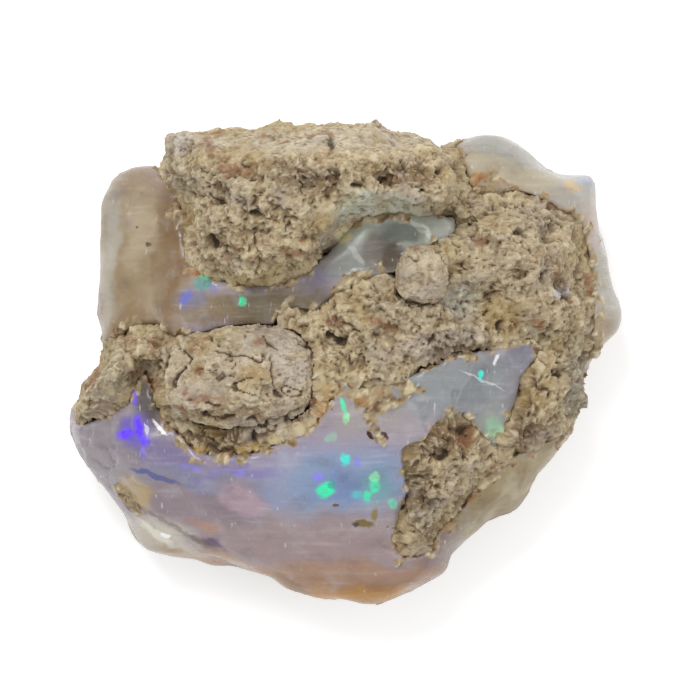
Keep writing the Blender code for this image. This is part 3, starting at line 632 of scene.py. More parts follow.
class Painter:
    """Builds one material's node tree, whose colour is laid on in layers."""

    def __init__(self, name: str) -> None:
        """Starts a material with its Principled shader and the place on the piece.

        Args:
            name: the material's name.
        """
        self.material = bpy.data.materials.new(name)
        self.material.use_nodes = True
        self.tree = self.material.node_tree
        self.shader = self.tree.nodes["Principled BSDF"]
        self.place = self.node("TexCoord").outputs["Object"]

    def node(self, kind: str, settings: dict | None = None, inputs: dict | None = None) -> bpy.types.Node:
        """Adds a shader node with its settings and links.

        Args:
            kind: the node's type, without its ShaderNode prefix.
            settings: the node's own properties.
            inputs: what goes into each socket, by name or number: another node's socket or a value.

        Returns:
            The new node.
        """
        node = self.tree.nodes.new("ShaderNode" + kind)
        for key, value in (settings or {}).items():
            setattr(node, key, value)
        for key, value in (inputs or {}).items():
            if isinstance(value, bpy.types.NodeSocket):
                self.tree.links.new(value, node.inputs[key])
            else:
                node.inputs[key].default_value = value
        return node

    def attribute(self, name: str) -> bpy.types.NodeSocket:
        """Reads one of the piece's own numbers per vertex."""
        return self.node("Attribute", {"attribute_name": name}).outputs["Fac"]

    def grain(
        self, size: float, detail: float = 3.0, stretch: tuple[float, float, float] = (1, 1, 1)
    ) -> bpy.types.NodeSocket:
        """Adds a noise pattern.

        Args:
            size: how far apart its features are, in millimetres.
            detail: how much finer detail is on them.
            stretch: how many times longer they are along each axis.

        Returns:
            The pattern's value, from 0 to 1.
        """
        place = self.node("Mapping", {"vector_type": "TEXTURE"}, {"Vector": self.place, "Scale": stretch})
        inputs = {"Vector": place.outputs[0], "Scale": 1 / (size * MM), "Detail": detail}
        return self.node("TexNoise", None, inputs).outputs[0]

    def warped(self, size: float, reach: float) -> bpy.types.NodeSocket:
        """The place, pushed about by noise so that the edges of patches turn ragged.

        Args:
            size: how far apart the pushes are, in millimetres.
            reach: how far they go, in millimetres.

        Returns:
            The pushed place.
        """
        noise_colour = self.grain(size).node.outputs["Color"]
        centred = self.node("VectorMath", {"operation": "SUBTRACT"}, {0: noise_colour, 1: (0.5, 0.5, 0.5)})
        inputs = {0: centred.outputs[0], "Scale": 2 * reach * MM}
        push = self.node("VectorMath", {"operation": "SCALE"}, inputs)
        return self.node("VectorMath", {"operation": "ADD"}, {0: self.place, 1: push.outputs[0]}).outputs[0]

    def ranged(
        self, value: bpy.types.NodeSocket, low: float, high: float, start: float = 0.0, end: float = 1.0
    ) -> bpy.types.NodeSocket:
        """Maps a value smoothly from one range onto another.

        Args:
            value: the socket to map.
            low: where it gives start.
            high: where it gives end. It may be under low.
            start: the result at low.
            end: the result at high.

        Returns:
            The mapped value.
        """
        inputs = {"Value": value, "From Min": low, "From Max": high, "To Min": start, "To Max": end}
        return self.node("MapRange", {"interpolation_type": "SMOOTHSTEP"}, inputs).outputs[0]

    def mask(self, spot: Patch | Flash, where: bpy.types.NodeSocket, edge: Edge) -> bpy.types.NodeSocket:
        """Where a patch or a flash lies, seen from above.

        Args:
            spot: the patch or flash.
            where: the place, warped or not.
            edge: how it ends.

        Returns:
            Its strength inside it, and 0 outside.
        """
        reach = 1.0 + 0.5 * edge.value
        inputs = {
            "Vector": where,
            "Location": (spot.centre[0] * MM, spot.centre[1] * MM, 0.0),
            "Rotation": (0.0, 0.0, math.radians(spot.turn)),
            "Scale": (spot.radii[0] * reach * MM, spot.radii[1] * reach * MM, 1.0),
        }
        local = self.node("Mapping", {"vector_type": "TEXTURE", "label": spot.name}, inputs)
        ball = self.node("TexGradient", {"gradient_type": "SPHERICAL"}, {"Vector": local.outputs[0]})
        return self.ranged(ball.outputs[1], 0.0, 1.2 * edge.value / reach, 0.0, spot.strength)

    def lay(
        self,
        under: bpy.types.NodeSocket | str,
        over: bpy.types.NodeSocket | str,
        share: bpy.types.NodeSocket | float,
        blend: str = "MIX",
    ) -> bpy.types.NodeSocket:
        """Lays one colour over another.

        Args:
            under: the lower colour, as a socket or a hex colour.
            over: the upper colour.
            share: how much of the upper one shows.
            blend: how they mix.

        Returns:
            The mixed colour.
        """
        under, over = (linear(c) if isinstance(c, str) else c for c in (under, over))
        settings = {"data_type": "RGBA", "blend_type": blend, "clamp_factor": True}
        # The node's colour sockets are its inputs 6 and 7 and its output 2
        return self.node("Mix", settings, {0: share, 6: under, 7: over}).outputs[2]

    def tint(
        self,
        under: bpy.types.NodeSocket | str,
        over: str,
        pattern: bpy.types.NodeSocket,
        low: float,
        high: float,
        share: float = 1.0,
        blend: str = "MIX",
    ) -> bpy.types.NodeSocket:
        """Lays a colour over another where a pattern runs high, or low.

        Args:
            under: the lower colour, as a socket or a hex colour.
            over: the upper colour.
            pattern: the pattern's value.
            low: where the upper colour begins to show.
            high: where it shows most. It may be under low.
            share: how much of it shows there.
            blend: how they mix.

        Returns:
            The mixed colour.
        """
        return self.lay(under, over, self.ranged(pattern, low, high, 0.0, share), blend)

    def patched(
        self,
        colour: bpy.types.NodeSocket | str,
        patches: tuple[Patch, ...],
        hazy: bpy.types.NodeSocket,
        soft: bpy.types.NodeSocket,
    ) -> bpy.types.NodeSocket:
        """Lays patches over a colour, the first one lowest.

        Args:
            colour: the colour under them, as a socket or a hex colour.
            patches: the patches.
            hazy: the warped place that the hazy ones read.
            soft: the warped place that the soft ones read.

        Returns:
            The mixed colour.
        """
        for patch in patches:
            where = hazy if patch.edge is Edge.HAZY else soft
            colour = self.lay(colour, patch.colour, self.mask(patch, where, patch.edge))
        return colour

    def bump(self, size: float, detail: float, height: float, strength: float) -> None:
        """Gives the shader grain that is finer than the mesh's own relief.

        Args:
            size: how far apart its features are, in millimetres.
            detail: how much finer detail is on them.
            height: how high it stands, in millimetres.
            strength: how strongly it shows.
        """
        inputs = {"Height": self.grain(size, detail), "Distance": height * MM, "Strength": strength}
        bump = self.node("Bump", None, inputs)
        self.tree.links.new(bump.outputs[0], self.shader.inputs["Normal"])

    def finish(
        self, base: bpy.types.NodeSocket, roughness: bpy.types.NodeSocket, **own: object
    ) -> bpy.types.Material:
        """Links the colour and roughness and sets the shader's own values.

        Args:
            base: the finished colour.
            roughness: the finished roughness.
            own: values for the shader's own sockets, with _ for a space.

        Returns:
            The material.
        """
        self.tree.links.new(base, self.shader.inputs["Base Color"])
        self.tree.links.new(roughness, self.shader.inputs["Roughness"])
        for key, value in own.items():
            self.shader.inputs[key.replace("_", " ")].default_value = value
        return self.material


@dataclass(frozen=True)
class PreciousOpal:
    """Hydrated silica, translucent and milky, broken by hand and never polished.

    Its body colour drifts from blue to lilac to amber as light crosses it, flashes of pure colour
    sit just under the surface, and a dull tan rind is left where it grew against the rock.
    """

    body: str = "#a3989f"
    veil: str = "#c2c2c9"
    shade: str = "#5d5562"
    band_light: str = "#efe9ee"
    band_dark: str = "#6a6378"
    tick: str = "#dfe2ea"
    rind: str = "#927f63"
    rind_pale: str = "#b3a891"
    rind_dark: str = "#6d5a41"
    rind_pit: str = "#4c3d2c"
    crust: str = "#a3906f"
    crust_pale: str = "#c9ba97"
    crust_brown: str = "#74573a"
    crust_gap: str = "#6a4d30"
    crust_rust: str = "#a5703c"
    # Colour of the painted shade in hollows and pits
    crevice_shade: str = "#40352b"
    # Colour of the painted shade on the steep outer edge
    rim: str = "#5f4a36"
    worn: str = "#d9d5d0"
    ior: float = 1.45
    gloss: float = 0.17
    gloss_spread: float = 0.16
    rind_roughness: float = 0.62
    domain: float = 0.30
    # Strength of the painted glow that the flashes emit
    glow: float = 0.32
    scatter: float = 0.45
    scatter_colour: tuple[float, float, float] = (1.0, 0.9, 0.8)
    scatter_depth: float = 0.9

    def crusted(
        self, paint: Painter, colour: bpy.types.NodeSocket
    ) -> tuple[bpy.types.NodeSocket, bpy.types.NodeSocket]:
        """Lays the crumbs of rock that cling to the opal over its colour.

        Args:
            paint: the material's painter.
            colour: the opal's own colour.

        Returns:
            The colour with crust on it, and how much crust there is.
        """
        share = paint.attribute("crust")
        grain = paint.grain(0.5, 5.0)
        crust = paint.tint(self.crust, self.crust_pale, paint.attribute("tone"), 0.5, 0.9)
        crust = paint.tint(crust, self.crust_brown, paint.attribute("tone"), 0.45, 0.1, 0.9)
        crust = paint.tint(crust, self.crust_gap, grain, 0.48, 0.32, 0.8)
        crust = paint.tint(crust, self.crust_rust, paint.grain(1.6), 0.55, 0.70, 0.7)
        fray = paint.ranged(grain, 0.3, 0.7, -0.3, 0.3)
        ragged = paint.node("Math", {"operation": "ADD"}, {0: share, 1: fray})
        share = paint.ranged(ragged.outputs[0], 0.25, 0.75)
        return paint.lay(colour, crust, share), share

    def bodied(self, paint: Painter, close: bpy.types.NodeSocket) -> bpy.types.NodeSocket:
        """Lays the opal's own colours: its zones, milky clouds, growth bands and stains.

        Args:
            paint: the material's painter.
            close: the slightly warped place that the stains read.

        Returns:
            The colour of the clean opal.
        """
        wide, near = paint.warped(2.4, 1.1), paint.warped(0.9, 0.35)
        colour = paint.patched(self.body, OPAL_PATCHES, wide, near)
        clouds = paint.grain(1.5, 5.0)
        colour = paint.tint(colour, self.veil, clouds, 0.52, 0.80, 0.34)
        colour = paint.tint(colour, self.shade, clouds, 0.46, 0.22, 0.30)
        # Level bands as the silica settled, with short upright ticks across them
        bands = paint.grain(0.34, 2.0, stretch=(9, 1, 3))
        colour = paint.tint(colour, self.band_light, bands, 0.54, 0.80, 0.12, "SCREEN")
        colour = paint.tint(colour, self.band_dark, bands, 0.45, 0.25, 0.20)
        colour = paint.tint(colour, self.tick, paint.grain(0.22, 1.0, stretch=(1, 4.5, 2)), 0.70, 0.80, 0.45)
        return paint.patched(colour, OPAL_STAINS, close, close)

    def material(self) -> bpy.types.Material:
        """Builds the opal's material: its own colours, the rind and crust on it, and its flashes."""
        paint = Painter("precious_opal_broken_unpolished")
        close = paint.warped(0.45, 0.22)
        colour = self.bodied(paint, close)
        # Rind on the sides, the back and the weathered slabs
        rind_share = paint.attribute("rind")
        mottle = paint.grain(1.3, 6.0)
        rind = paint.tint(self.rind, self.rind_pale, mottle, 0.50, 0.70)
        rind = paint.tint(rind, self.rind_dark, mottle, 0.46, 0.30)
        rind = paint.tint(rind, self.rind_pit, paint.grain(0.6), 0.66, 0.76, 0.7)
        colour = paint.lay(colour, rind, rind_share)
        colour, crust_share = self.crusted(paint, colour)
        # Painted shade darkens the opal's hollows and the pits of its rind
        colour = paint.tint(colour, self.crevice_shade, paint.attribute("crevice_shade"), 0.2, 1.0, 0.5)
        # Painted shade darkens the steep outer edge, away from the rock
        colour = paint.lay(colour, self.rim, paint.attribute("rim"))
        colour = paint.tint(colour, self.worn, paint.attribute("worn"), 0.3, 1.0, 0.4)
        # Each flash is a mosaic of small domains, some lit and some dim, and rind hides it
        place = paint.warped(0.5, 0.1)
        cells = paint.node("TexVoronoi", None, {"Vector": place, "Scale": 1 / (self.domain * MM)})
        sparkle = paint.ranged(cells.outputs["Color"], 0.15, 0.70, 0.55, 1.0)
        clear = paint.ranged(rind_share, 0.0, 0.9, 1.0, 0.0)
        sparkle = paint.node("Math", {"operation": "MULTIPLY"}, {0: sparkle, 1: clear}).outputs[0]
        glow = "#000000"
        for fire in Fire:
            first, *others = (paint.mask(f, close, Edge.GLOWING) for f in OPAL_FLASHES if f.fire is fire)
            lit = first
            for mask in others:
                lit = paint.node("Math", {"operation": "MAXIMUM"}, {0: lit, 1: mask}).outputs[0]
            lit = paint.node("Math", {"operation": "MULTIPLY"}, {0: lit, 1: sparkle}).outputs[0]
            colour = paint.lay(colour, fire.value, lit)
            # The flashes also give off a painted glow through the shader's emission
            glow = paint.lay(glow, fire.value, lit)
        paint.tree.links.new(glow, paint.shader.inputs["Emission Color"])
        dull = paint.ranged(paint.grain(0.8, 4.0), 0.35, 0.70, self.gloss, self.gloss + self.gloss_spread)
        worn = paint.node("Math", {"operation": "MAXIMUM"}, {0: rind_share, 1: crust_share}).outputs[0]
        mixed = {"Factor": worn, "A": dull, "B": self.rind_roughness}
        paint.bump(0.28, 5.0, 0.03, 0.35)
        return paint.finish(
            colour,
            paint.node("Mix", {"data_type": "FLOAT"}, mixed).outputs[0],
            IOR=self.ior,
            Emission_Strength=self.glow,
            Subsurface_Weight=self.scatter,
            Subsurface_Radius=self.scatter_colour,
            Subsurface_Scale=self.scatter_depth * MM,
        )


@dataclass(frozen=True)
class WeatheredTuff:
    """Volcanic ash rock gone crumbly: dull tan fragments with rust between them, and painted shade darkening
    its gaps and hollows.
    """

    body: str = "#b3a07d"
    cream: str = "#d9caa6"
    brown: str = "#826a46"
    dust: str = "#ddd2ba"
    grit: str = "#5c4833"
    umber: str = "#6a5138"
    flake_pale: str = "#e0d4b8"
    flake_dark: str = "#6b543b"
    ochre: str = "#a58b52"
    grey: str = "#9f958c"
    rust: str = "#85532e"
    # Colours of the painted shade in hollows and, darker, deep in gaps
    hollow: str = "#745d42"
    gap: str = "#33261a"
    ior: float = 1.5
    roughness: float = 0.93
    smoothest: float = 0.79

    def layers(self, paint: Painter, patches: tuple[Patch, ...]) -> bpy.types.NodeSocket:
        """Lays the rock's colours: fragments, patches, rust, dust on edges, and painted shade in its hollows
        and gaps.

        Args:
            paint: the material's painter.
            patches: the patches of other colours.

        Returns:
            The finished colour.
        """
        colour = paint.patched(self.body, patches, paint.warped(1.5, 0.7), paint.warped(0.6, 0.3))
        tone = paint.attribute("tone")
        colour = paint.tint(colour, self.cream, tone, 0.50, 1.0, 0.60)
        colour = paint.tint(colour, self.brown, tone, 0.48, 0.0, 0.62)
        speckle = paint.grain(0.26, 4.0)
        colour = paint.tint(colour, self.dust, speckle, 0.58, 0.74, 0.55)
        colour = paint.tint(colour, self.grit, speckle, 0.42, 0.28, 0.60)
        fleck = paint.grain(0.55, 6.0)
        colour = paint.tint(colour, self.cream, fleck, 0.56, 0.66, 0.55)
        colour = paint.tint(colour, self.umber, fleck, 0.43, 0.34, 0.60)
        flakes = paint.grain(0.24, 5.0, stretch=(2.4, 0.9, 1.0))
        colour = paint.tint(colour, self.flake_pale, flakes, 0.56, 0.70, 0.45)
        colour = paint.tint(colour, self.flake_dark, flakes, 0.44, 0.31, 0.45)
        clouds = paint.grain(2.6, 4.0)
        colour = paint.tint(colour, self.ochre, clouds, 0.52, 0.68, 0.42)
        colour = paint.tint(colour, self.grey, clouds, 0.46, 0.32, 0.42)
        colour = paint.tint(colour, self.rust, paint.grain(1.7, 6.0), 0.57, 0.70, 0.70)
        colour = paint.tint(colour, self.dust, paint.attribute("worn"), 0.25, 1.0, 0.35)
        # Painted shade in the hollows, and darker painted shade deep in pits, splits and grooves
        colour = paint.tint(colour, self.hollow, paint.attribute("crevice_shade"), 0.10, 0.55, 0.50)
        return paint.tint(colour, self.gap, paint.attribute("crevice_shade"), 0.55, 1.0, 0.78)

    def finished(self, paint: Painter, colour: bpy.types.NodeSocket) -> bpy.types.Material:
        """Finishes a material whose pale fragments are a little smoother than its dark ones.

        Args:
            paint: the material's painter.
            colour: its finished colour.

        Returns:
            The material.
        """
        rough = paint.ranged(paint.attribute("tone"), 0.0, 1.0, self.roughness, self.smoothest)
        return paint.finish(colour, rough, IOR=self.ior)

    def material(self) -> bpy.types.Material:
        """Builds the host rock's material."""
        paint = Painter("weathered_tuff_crumbly")
        colour = self.layers(paint, ROCK_PATCHES)
        paint.bump(0.14, 4.0, 0.05, 0.6)
        return self.finished(paint, colour)


@dataclass(frozen=True)
class PaleClaystone(WeatheredTuff):
    """A pale fragment of baked clay: finer, creamier and crazed with drying cracks."""

    body: str = "#b8a88c"
    cream: str = "#d6cab0"
    brown: str = "#998667"
    gap: str = "#35281c"
    smoothest: float = 0.83

    def material(self) -> bpy.types.Material:
        """Builds the fragments' material."""
        paint = Painter("pale_claystone_crazed")
        colour = self.layers(paint, CLAST_PATCHES)
        paint.bump(0.12, 4.0, 0.04, 0.5)
        return self.finished(paint, colour)


@dataclass(frozen=True)
class StudioCard:
    """Matt white card, which stays pale and even under soft light."""

    colour: str = "#fbfbfa"
    tint: str = "#f4f4f2"
    light: str = "#ffffff"
    lift: float = 0.40

    def material(self) -> bpy.types.Material:
        """Builds the card's material, with a faint unevenness in its sheen."""
        paint = Painter("matt_white_card")
        clouds = paint.grain(40.0)
        colour = paint.tint(self.colour, self.tint, clouds, 0.3, 0.7)
        rough = paint.ranged(clouds, 0.2, 0.8, 0.9, 1.0)
        light = linear(self.light)
        return paint.finish(
            colour, rough, Specular_IOR_Level=0.1, Emission_Color=light, Emission_Strength=self.lift
        )


@dataclass(frozen=True)
class Waves:
    """Rises and dips, from wide ones to fine ones.

    The widest are size apart and as high as height. Each round of them is step times finer than the
    one before, and the larger fall is, the weaker. tone is how much paler a rise is than a level.
    """

    size: float
    height: float
    fall: float = 0.7
    step: float = 2.1
    rounds: int = 3
    tone: float = 0.0
    shift: tuple[float, float, float] = (0.0, 0.0, 0.0)

    def at(self, place: Vector) -> float:
        """How far up or down they are at a place, as a share of their height."""
        return noise.fractal(place / self.size + Vector(self.shift), self.fall, self.step, self.rounds)


@dataclass(frozen=True)
class Fragments:
    """Broken fragments, each with its own level, tilt and tone. squeeze flattens them along Y."""

    size: float
    lift: float
    tilt: float
    tone: float
    squeeze: float = 1.0
    shift: tuple[float, float, float] = (0.0, 0.0, 0.0)

    def at(self, place: Vector) -> tuple[float, float]:
        """Finds the fragment at a place.

        Args:
            place: where, in millimetres.

        Returns:
            How far its tilted face stands out there in millimetres, and how much paler it is.
        """
        place = Vector((place.x, self.squeeze * place.y, place.z)) / self.size + Vector(self.shift)
        middle = noise.voronoi(place)[1][0]
        slope = (place - middle).dot(noise.noise_vector(middle * TILT_SPREAD))
        level = noise.cell(middle * LEVEL_SPREAD)
        return self.lift * level + self.tilt * slope, self.tone * level


class Relief(NamedTuple):
    """How far the skin stands out in millimetres, how deep in a gap it is and its tone, 0 to 1."""

    height: float
    gap: float
    tone: float


@dataclass
class StonePiece:
    """A piece of the stone, remeshed finely from its solid and carved with its own relief."""

    name: str
    node: str
    slot: str
    voxel: float
    easing: int
    crevice_depth: float = 0.16
    held_relief: float = 0.35
    finish: PreciousOpal | WeatheredTuff = WeatheredTuff()

    def relief(self, place: Vector, normal: Vector) -> Relief:
        """The relief at a place on the eased skin.

        Args:
            place: where, in millimetres.
            normal: which way the skin faces there.

        Returns:
            The relief.
        """
        raise NotImplementedError

    def own_attributes(self, mesh: bpy.types.Mesh, places: np.ndarray, normals: np.ndarray) -> None:
        """Stores any further numbers that this piece's material reads. Most pieces have none.

        Args:
            mesh: the piece's mesh.
            places: the vertices' places, in millimetres.
            normals: which way the skin faces at each.
        """

    def drape(self, place: Vector) -> tuple[float, Vector]:
        """How far a place is let out to a neighbouring piece.

        Args:
            place: where, in millimetres.

        Returns:
            How much it is held by its neighbour, 0 to 1, and the move that brings it there.
        """
        return 0.0, Vector()

    def carve(self, mesh: bpy.types.Mesh) -> None:
        """Moves the skin by its relief and stores the painted shade of its hollows and gaps, where it is
        worn and its tone.

        Args:
            mesh: the eased skin.
        """
        places, normals = rows_of(mesh.vertices, "co") / MM, rows_of(mesh.vertex_normals, "vector")
        self.own_attributes(mesh, places, normals)
        held = [self.drape(Vector(p)) for p in places]
        free = 1.0 - np.array([share for share, _ in held])
        places = places + np.array([move for _, move in held])
        reliefs = [self.relief(Vector(p), Vector(n)) for p, n in zip(places, normals)]
        height, gap, tone = np.array(reliefs).T
        places = places + normals * (height * np.maximum(free, self.held_relief))[:, None]
        places[:, 2] = np.maximum(places[:, 2], 0.0)
        mesh.vertices.foreach_set("co", (places * MM).astype(np.float32).ravel())
        mesh.update()
        inwards = neighbour_mean(mesh, places, HOLLOW_ROUNDS) - places
        hollow = np.einsum("ij,ij->i", inwards, rows_of(mesh.vertex_normals, "vector")) / self.crevice_depth
        # Painted shade: concave places and the depths of pits, splits and grooves are stored to be painted
        # darker
        write_attribute(mesh, "crevice_shade", np.clip(free * (hollow + gap), 0, 1))
        write_attribute(mesh, "worn", np.clip(-hollow, 0, 1))
        write_attribute(mesh, "tone", tone)

    def build(self, nodes: dict[str, bpy.types.Object]) -> bpy.types.Object:
        """Makes the piece, carves it, dresses it and puts it in its solid's place.

        Args:
            nodes: the CAD nodes by name.

        Returns:
            The finished piece.
        """
        obj = fine_copy(self.name, nodes[self.node], self.voxel, self.easing)
        self.carve(obj.data)
        obj.data.shade_smooth()
        obj.data.materials.clear()
        obj.data.materials.append(self.finish.material())
        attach(obj, "root")
        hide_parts(self.node)
        LOG.info("%s: %d faces", self.name, len(obj.data.polygons))
        return obj


@dataclass
class OpalBody(StonePiece):
    """The opal: smooth breaks on its show face, glassy chips at the lip and a pitted rind."""

    finish: PreciousOpal = PreciousOpal()
    sweep: Waves = Waves(3.4, 0.10, 0.9, 2.0, 2)
    facet: float = 1.5
    facet_height: float = 0.16
    facet_slope: float = 1.6
    facet_limit: float = 1.2
    pits: Waves = Waves(0.8, 0.13, rounds=4)
    pit_gap: float = 0.6
    pit_gap_levels: tuple[float, float] = (-0.35, -0.9)
    rind_fray: float = 0.14
    rind_fray_size: float = 1.6
    rind_slope: float = -0.3
    rind_foot: tuple[float, float] = (4.2, 2.4)
    rind_foot_fray: float = 5.0
    crust_reach: float = 0.42
    crust_height: float = 0.10
    crust_fray: Waves = Waves(0.9, 0.55)
    crust_bare: float = 1.5
    crust_levels: tuple[float, float] = (-0.32, -0.02)
    crumbs: Fragments = Fragments(0.62, 0.07, 0.24, 0.25)
    crumb_grit: Waves = Waves(0.34, 0.12, 0.6, tone=0.4)
    rim_slope: float = 0.38
    rim_shade: float = 0.6
    rim_away: tuple[float, float] = (0.5, 1.3)
    clast_reach: float = 0.75
    clast_crack: float = 0.12
    least_glass: float = 0.01
    least_rind: float = 0.05
    least_crust: float = 0.02
    rock: BVHTree | None = None
    clasts: BVHTree | None = None
    glassy: tuple[Stretch, ...] = (
        Stretch("lip", (-12.8, -4.7), (3.2, 2.6), 0, 1.0),
        Stretch("window", (6.6, -1.3), (4.8, 2.4), 0, 0.8),
        Stretch("band", (-5.0, 3.3), (5.6, 1.4), 0, 0.7),
        Stretch("lens below the lip", (-10.3, -9.7), (2.6, 1.2), 0, 0.9),
    )
    skinned: tuple[Stretch, ...] = (
        Stretch("left slab", (-12.4, 5.8), (2.9, 5.6), 0, 0.25),
        Stretch("right flank", (10.2, -8.0), (4.6, 2.2), 0, 0.5),
    )

    def drape(self, place: Vector) -> tuple[float, Vector]:
        """Lets the opal out to the thin crack round a fragment that is set in it.

        Args:
            place: where, in millimetres.

        Returns:
            How much the fragment holds it, 0 to 1, and the move that brings it there.
        """
        clast, _, _, away = self.clasts.find_nearest(place * MM)
        away /= MM
        meets = smoothstep(self.clast_reach, 0.5 * self.clast_reach, away)
        return meets, (clast / MM - place) * (meets * max(0.0, 1.0 - self.clast_crack / away))

    def off_rock(self, place: Vector) -> float:
        """How far a place is from the host rock, in millimetres."""
        return self.rock.find_nearest(place * MM)[3] / MM

    def rind(self, place: Vector, normal: Vector) -> float:
        """How much rind covers a place.

        Args:
            place: where, in millimetres.
            normal: which way the skin faces there.

        Returns:
            A share from 0 to 1.
        """
        fray = self.rind_fray * noise.noise(place / self.rind_fray_size)
        below = smoothstep(0.0, self.rind_slope, normal.z + fray)
        foot = smoothstep(*self.rind_foot, place.z + self.rind_foot_fray * fray)
        weathered = (spot.share * spot.inside(place, fray, 1.15, 0.7) for spot in self.skinned)
        return max(below, foot, *weathered)

    def rim(self, place: Vector, normal: Vector) -> float:
        """How much painted shade darkens the stone's steep outer edge at a place.

        Args:
            place: where, in millimetres.
            normal: which way the skin faces there.

        Returns:
            A share from 0 to 1.
        """
        if normal.z > self.rim_slope:
            return 0.0
        steep = smoothstep(self.rim_slope, 0.0, normal.z)
        return self.rim_shade * steep * smoothstep(*self.rim_away, self.off_rock(place))

    def crust(self, place: Vector) -> float:
        """How much crust of rock clings to the opal at a place.

        Args:
            place: where, in millimetres.

        Returns:
            A share from 0 to 1.
        """
        fray = self.crust_fray.height * self.crust_fray.at(place)
        share = smoothstep(self.crust_reach, 0.25 * self.crust_reach, self.off_rock(place) + fray)
        share *= smoothstep(*self.crust_levels, noise.noise(place / self.crust_bare + CRUST_SHIFT))
        return max(share, *(spot.strength * spot.inside(place, fray, 1.15) for spot in OPAL_CRUSTS))

    def own_attributes(self, mesh: bpy.types.Mesh, places: np.ndarray, normals: np.ndarray) -> None:
        """Stores how much rind, painted edge shade and rock crust each vertex has.

        Args:
            mesh: the piece's mesh.
            places: the vertices' places, in millimetres.
            normals: which way the skin faces at each.
        """
        spots = [(Vector(p), Vector(n)) for p, n in zip(places, normals)]
        write_attribute(mesh, "rind", [self.rind(place, normal) for place, normal in spots])
        write_attribute(mesh, "rim", [self.rim(place, normal) for place, normal in spots])
        write_attribute(mesh, "crust", [self.crust(place) for place, _ in spots])

    def facets(self, place: Vector) -> float:
        """How far a glassy chip's face stands out at a place.

        Args:
            place: where, in millimetres.

        Returns:
            Its height, in millimetres.
        """
        place = place / self.facet
        middle = noise.voronoi(place)[1][0]
        slope = (place - middle).dot(noise.noise_vector(middle * FACET_SPREAD)) * self.facet_slope
        return self.facet_height * max(-self.facet_limit, min(self.facet_limit, slope))

    def relief(self, place: Vector, normal: Vector) -> Relief:
        """Sweeping breaks, chips where the opal is glassy, pits in its rind, and crumbs on it.

        Args:
            place: where, in millimetres.
            normal: which way the skin faces there.

        Returns:
            The relief.
        """
        height = self.sweep.height * self.sweep.at(place)
        glass = share_at(place, self.glassy, 0.0)
        if glass > self.least_glass and normal.z > UPWARD:
            height += glass * self.facets(place)
        rind, gap, tone = self.rind(place, normal), 0.0, MID_TONE
        if rind > self.least_rind:
            pits = self.pits.at(place)
            height += rind * self.pits.height * pits
            gap = rind * smoothstep(*self.pit_gap_levels, pits) * self.pit_gap
        crust = self.crust(place)
        if crust > self.least_crust:
            crumb, crumb_tone = self.crumbs.at(place)
            grit = self.crumb_grit.at(place)
            height += crust * (self.crust_height + crumb + self.crumb_grit.height * grit)
            tone += crumb_tone + self.crumb_grit.tone * grit
        return Relief(height, gap, min(1.0, max(0.0, tone)))


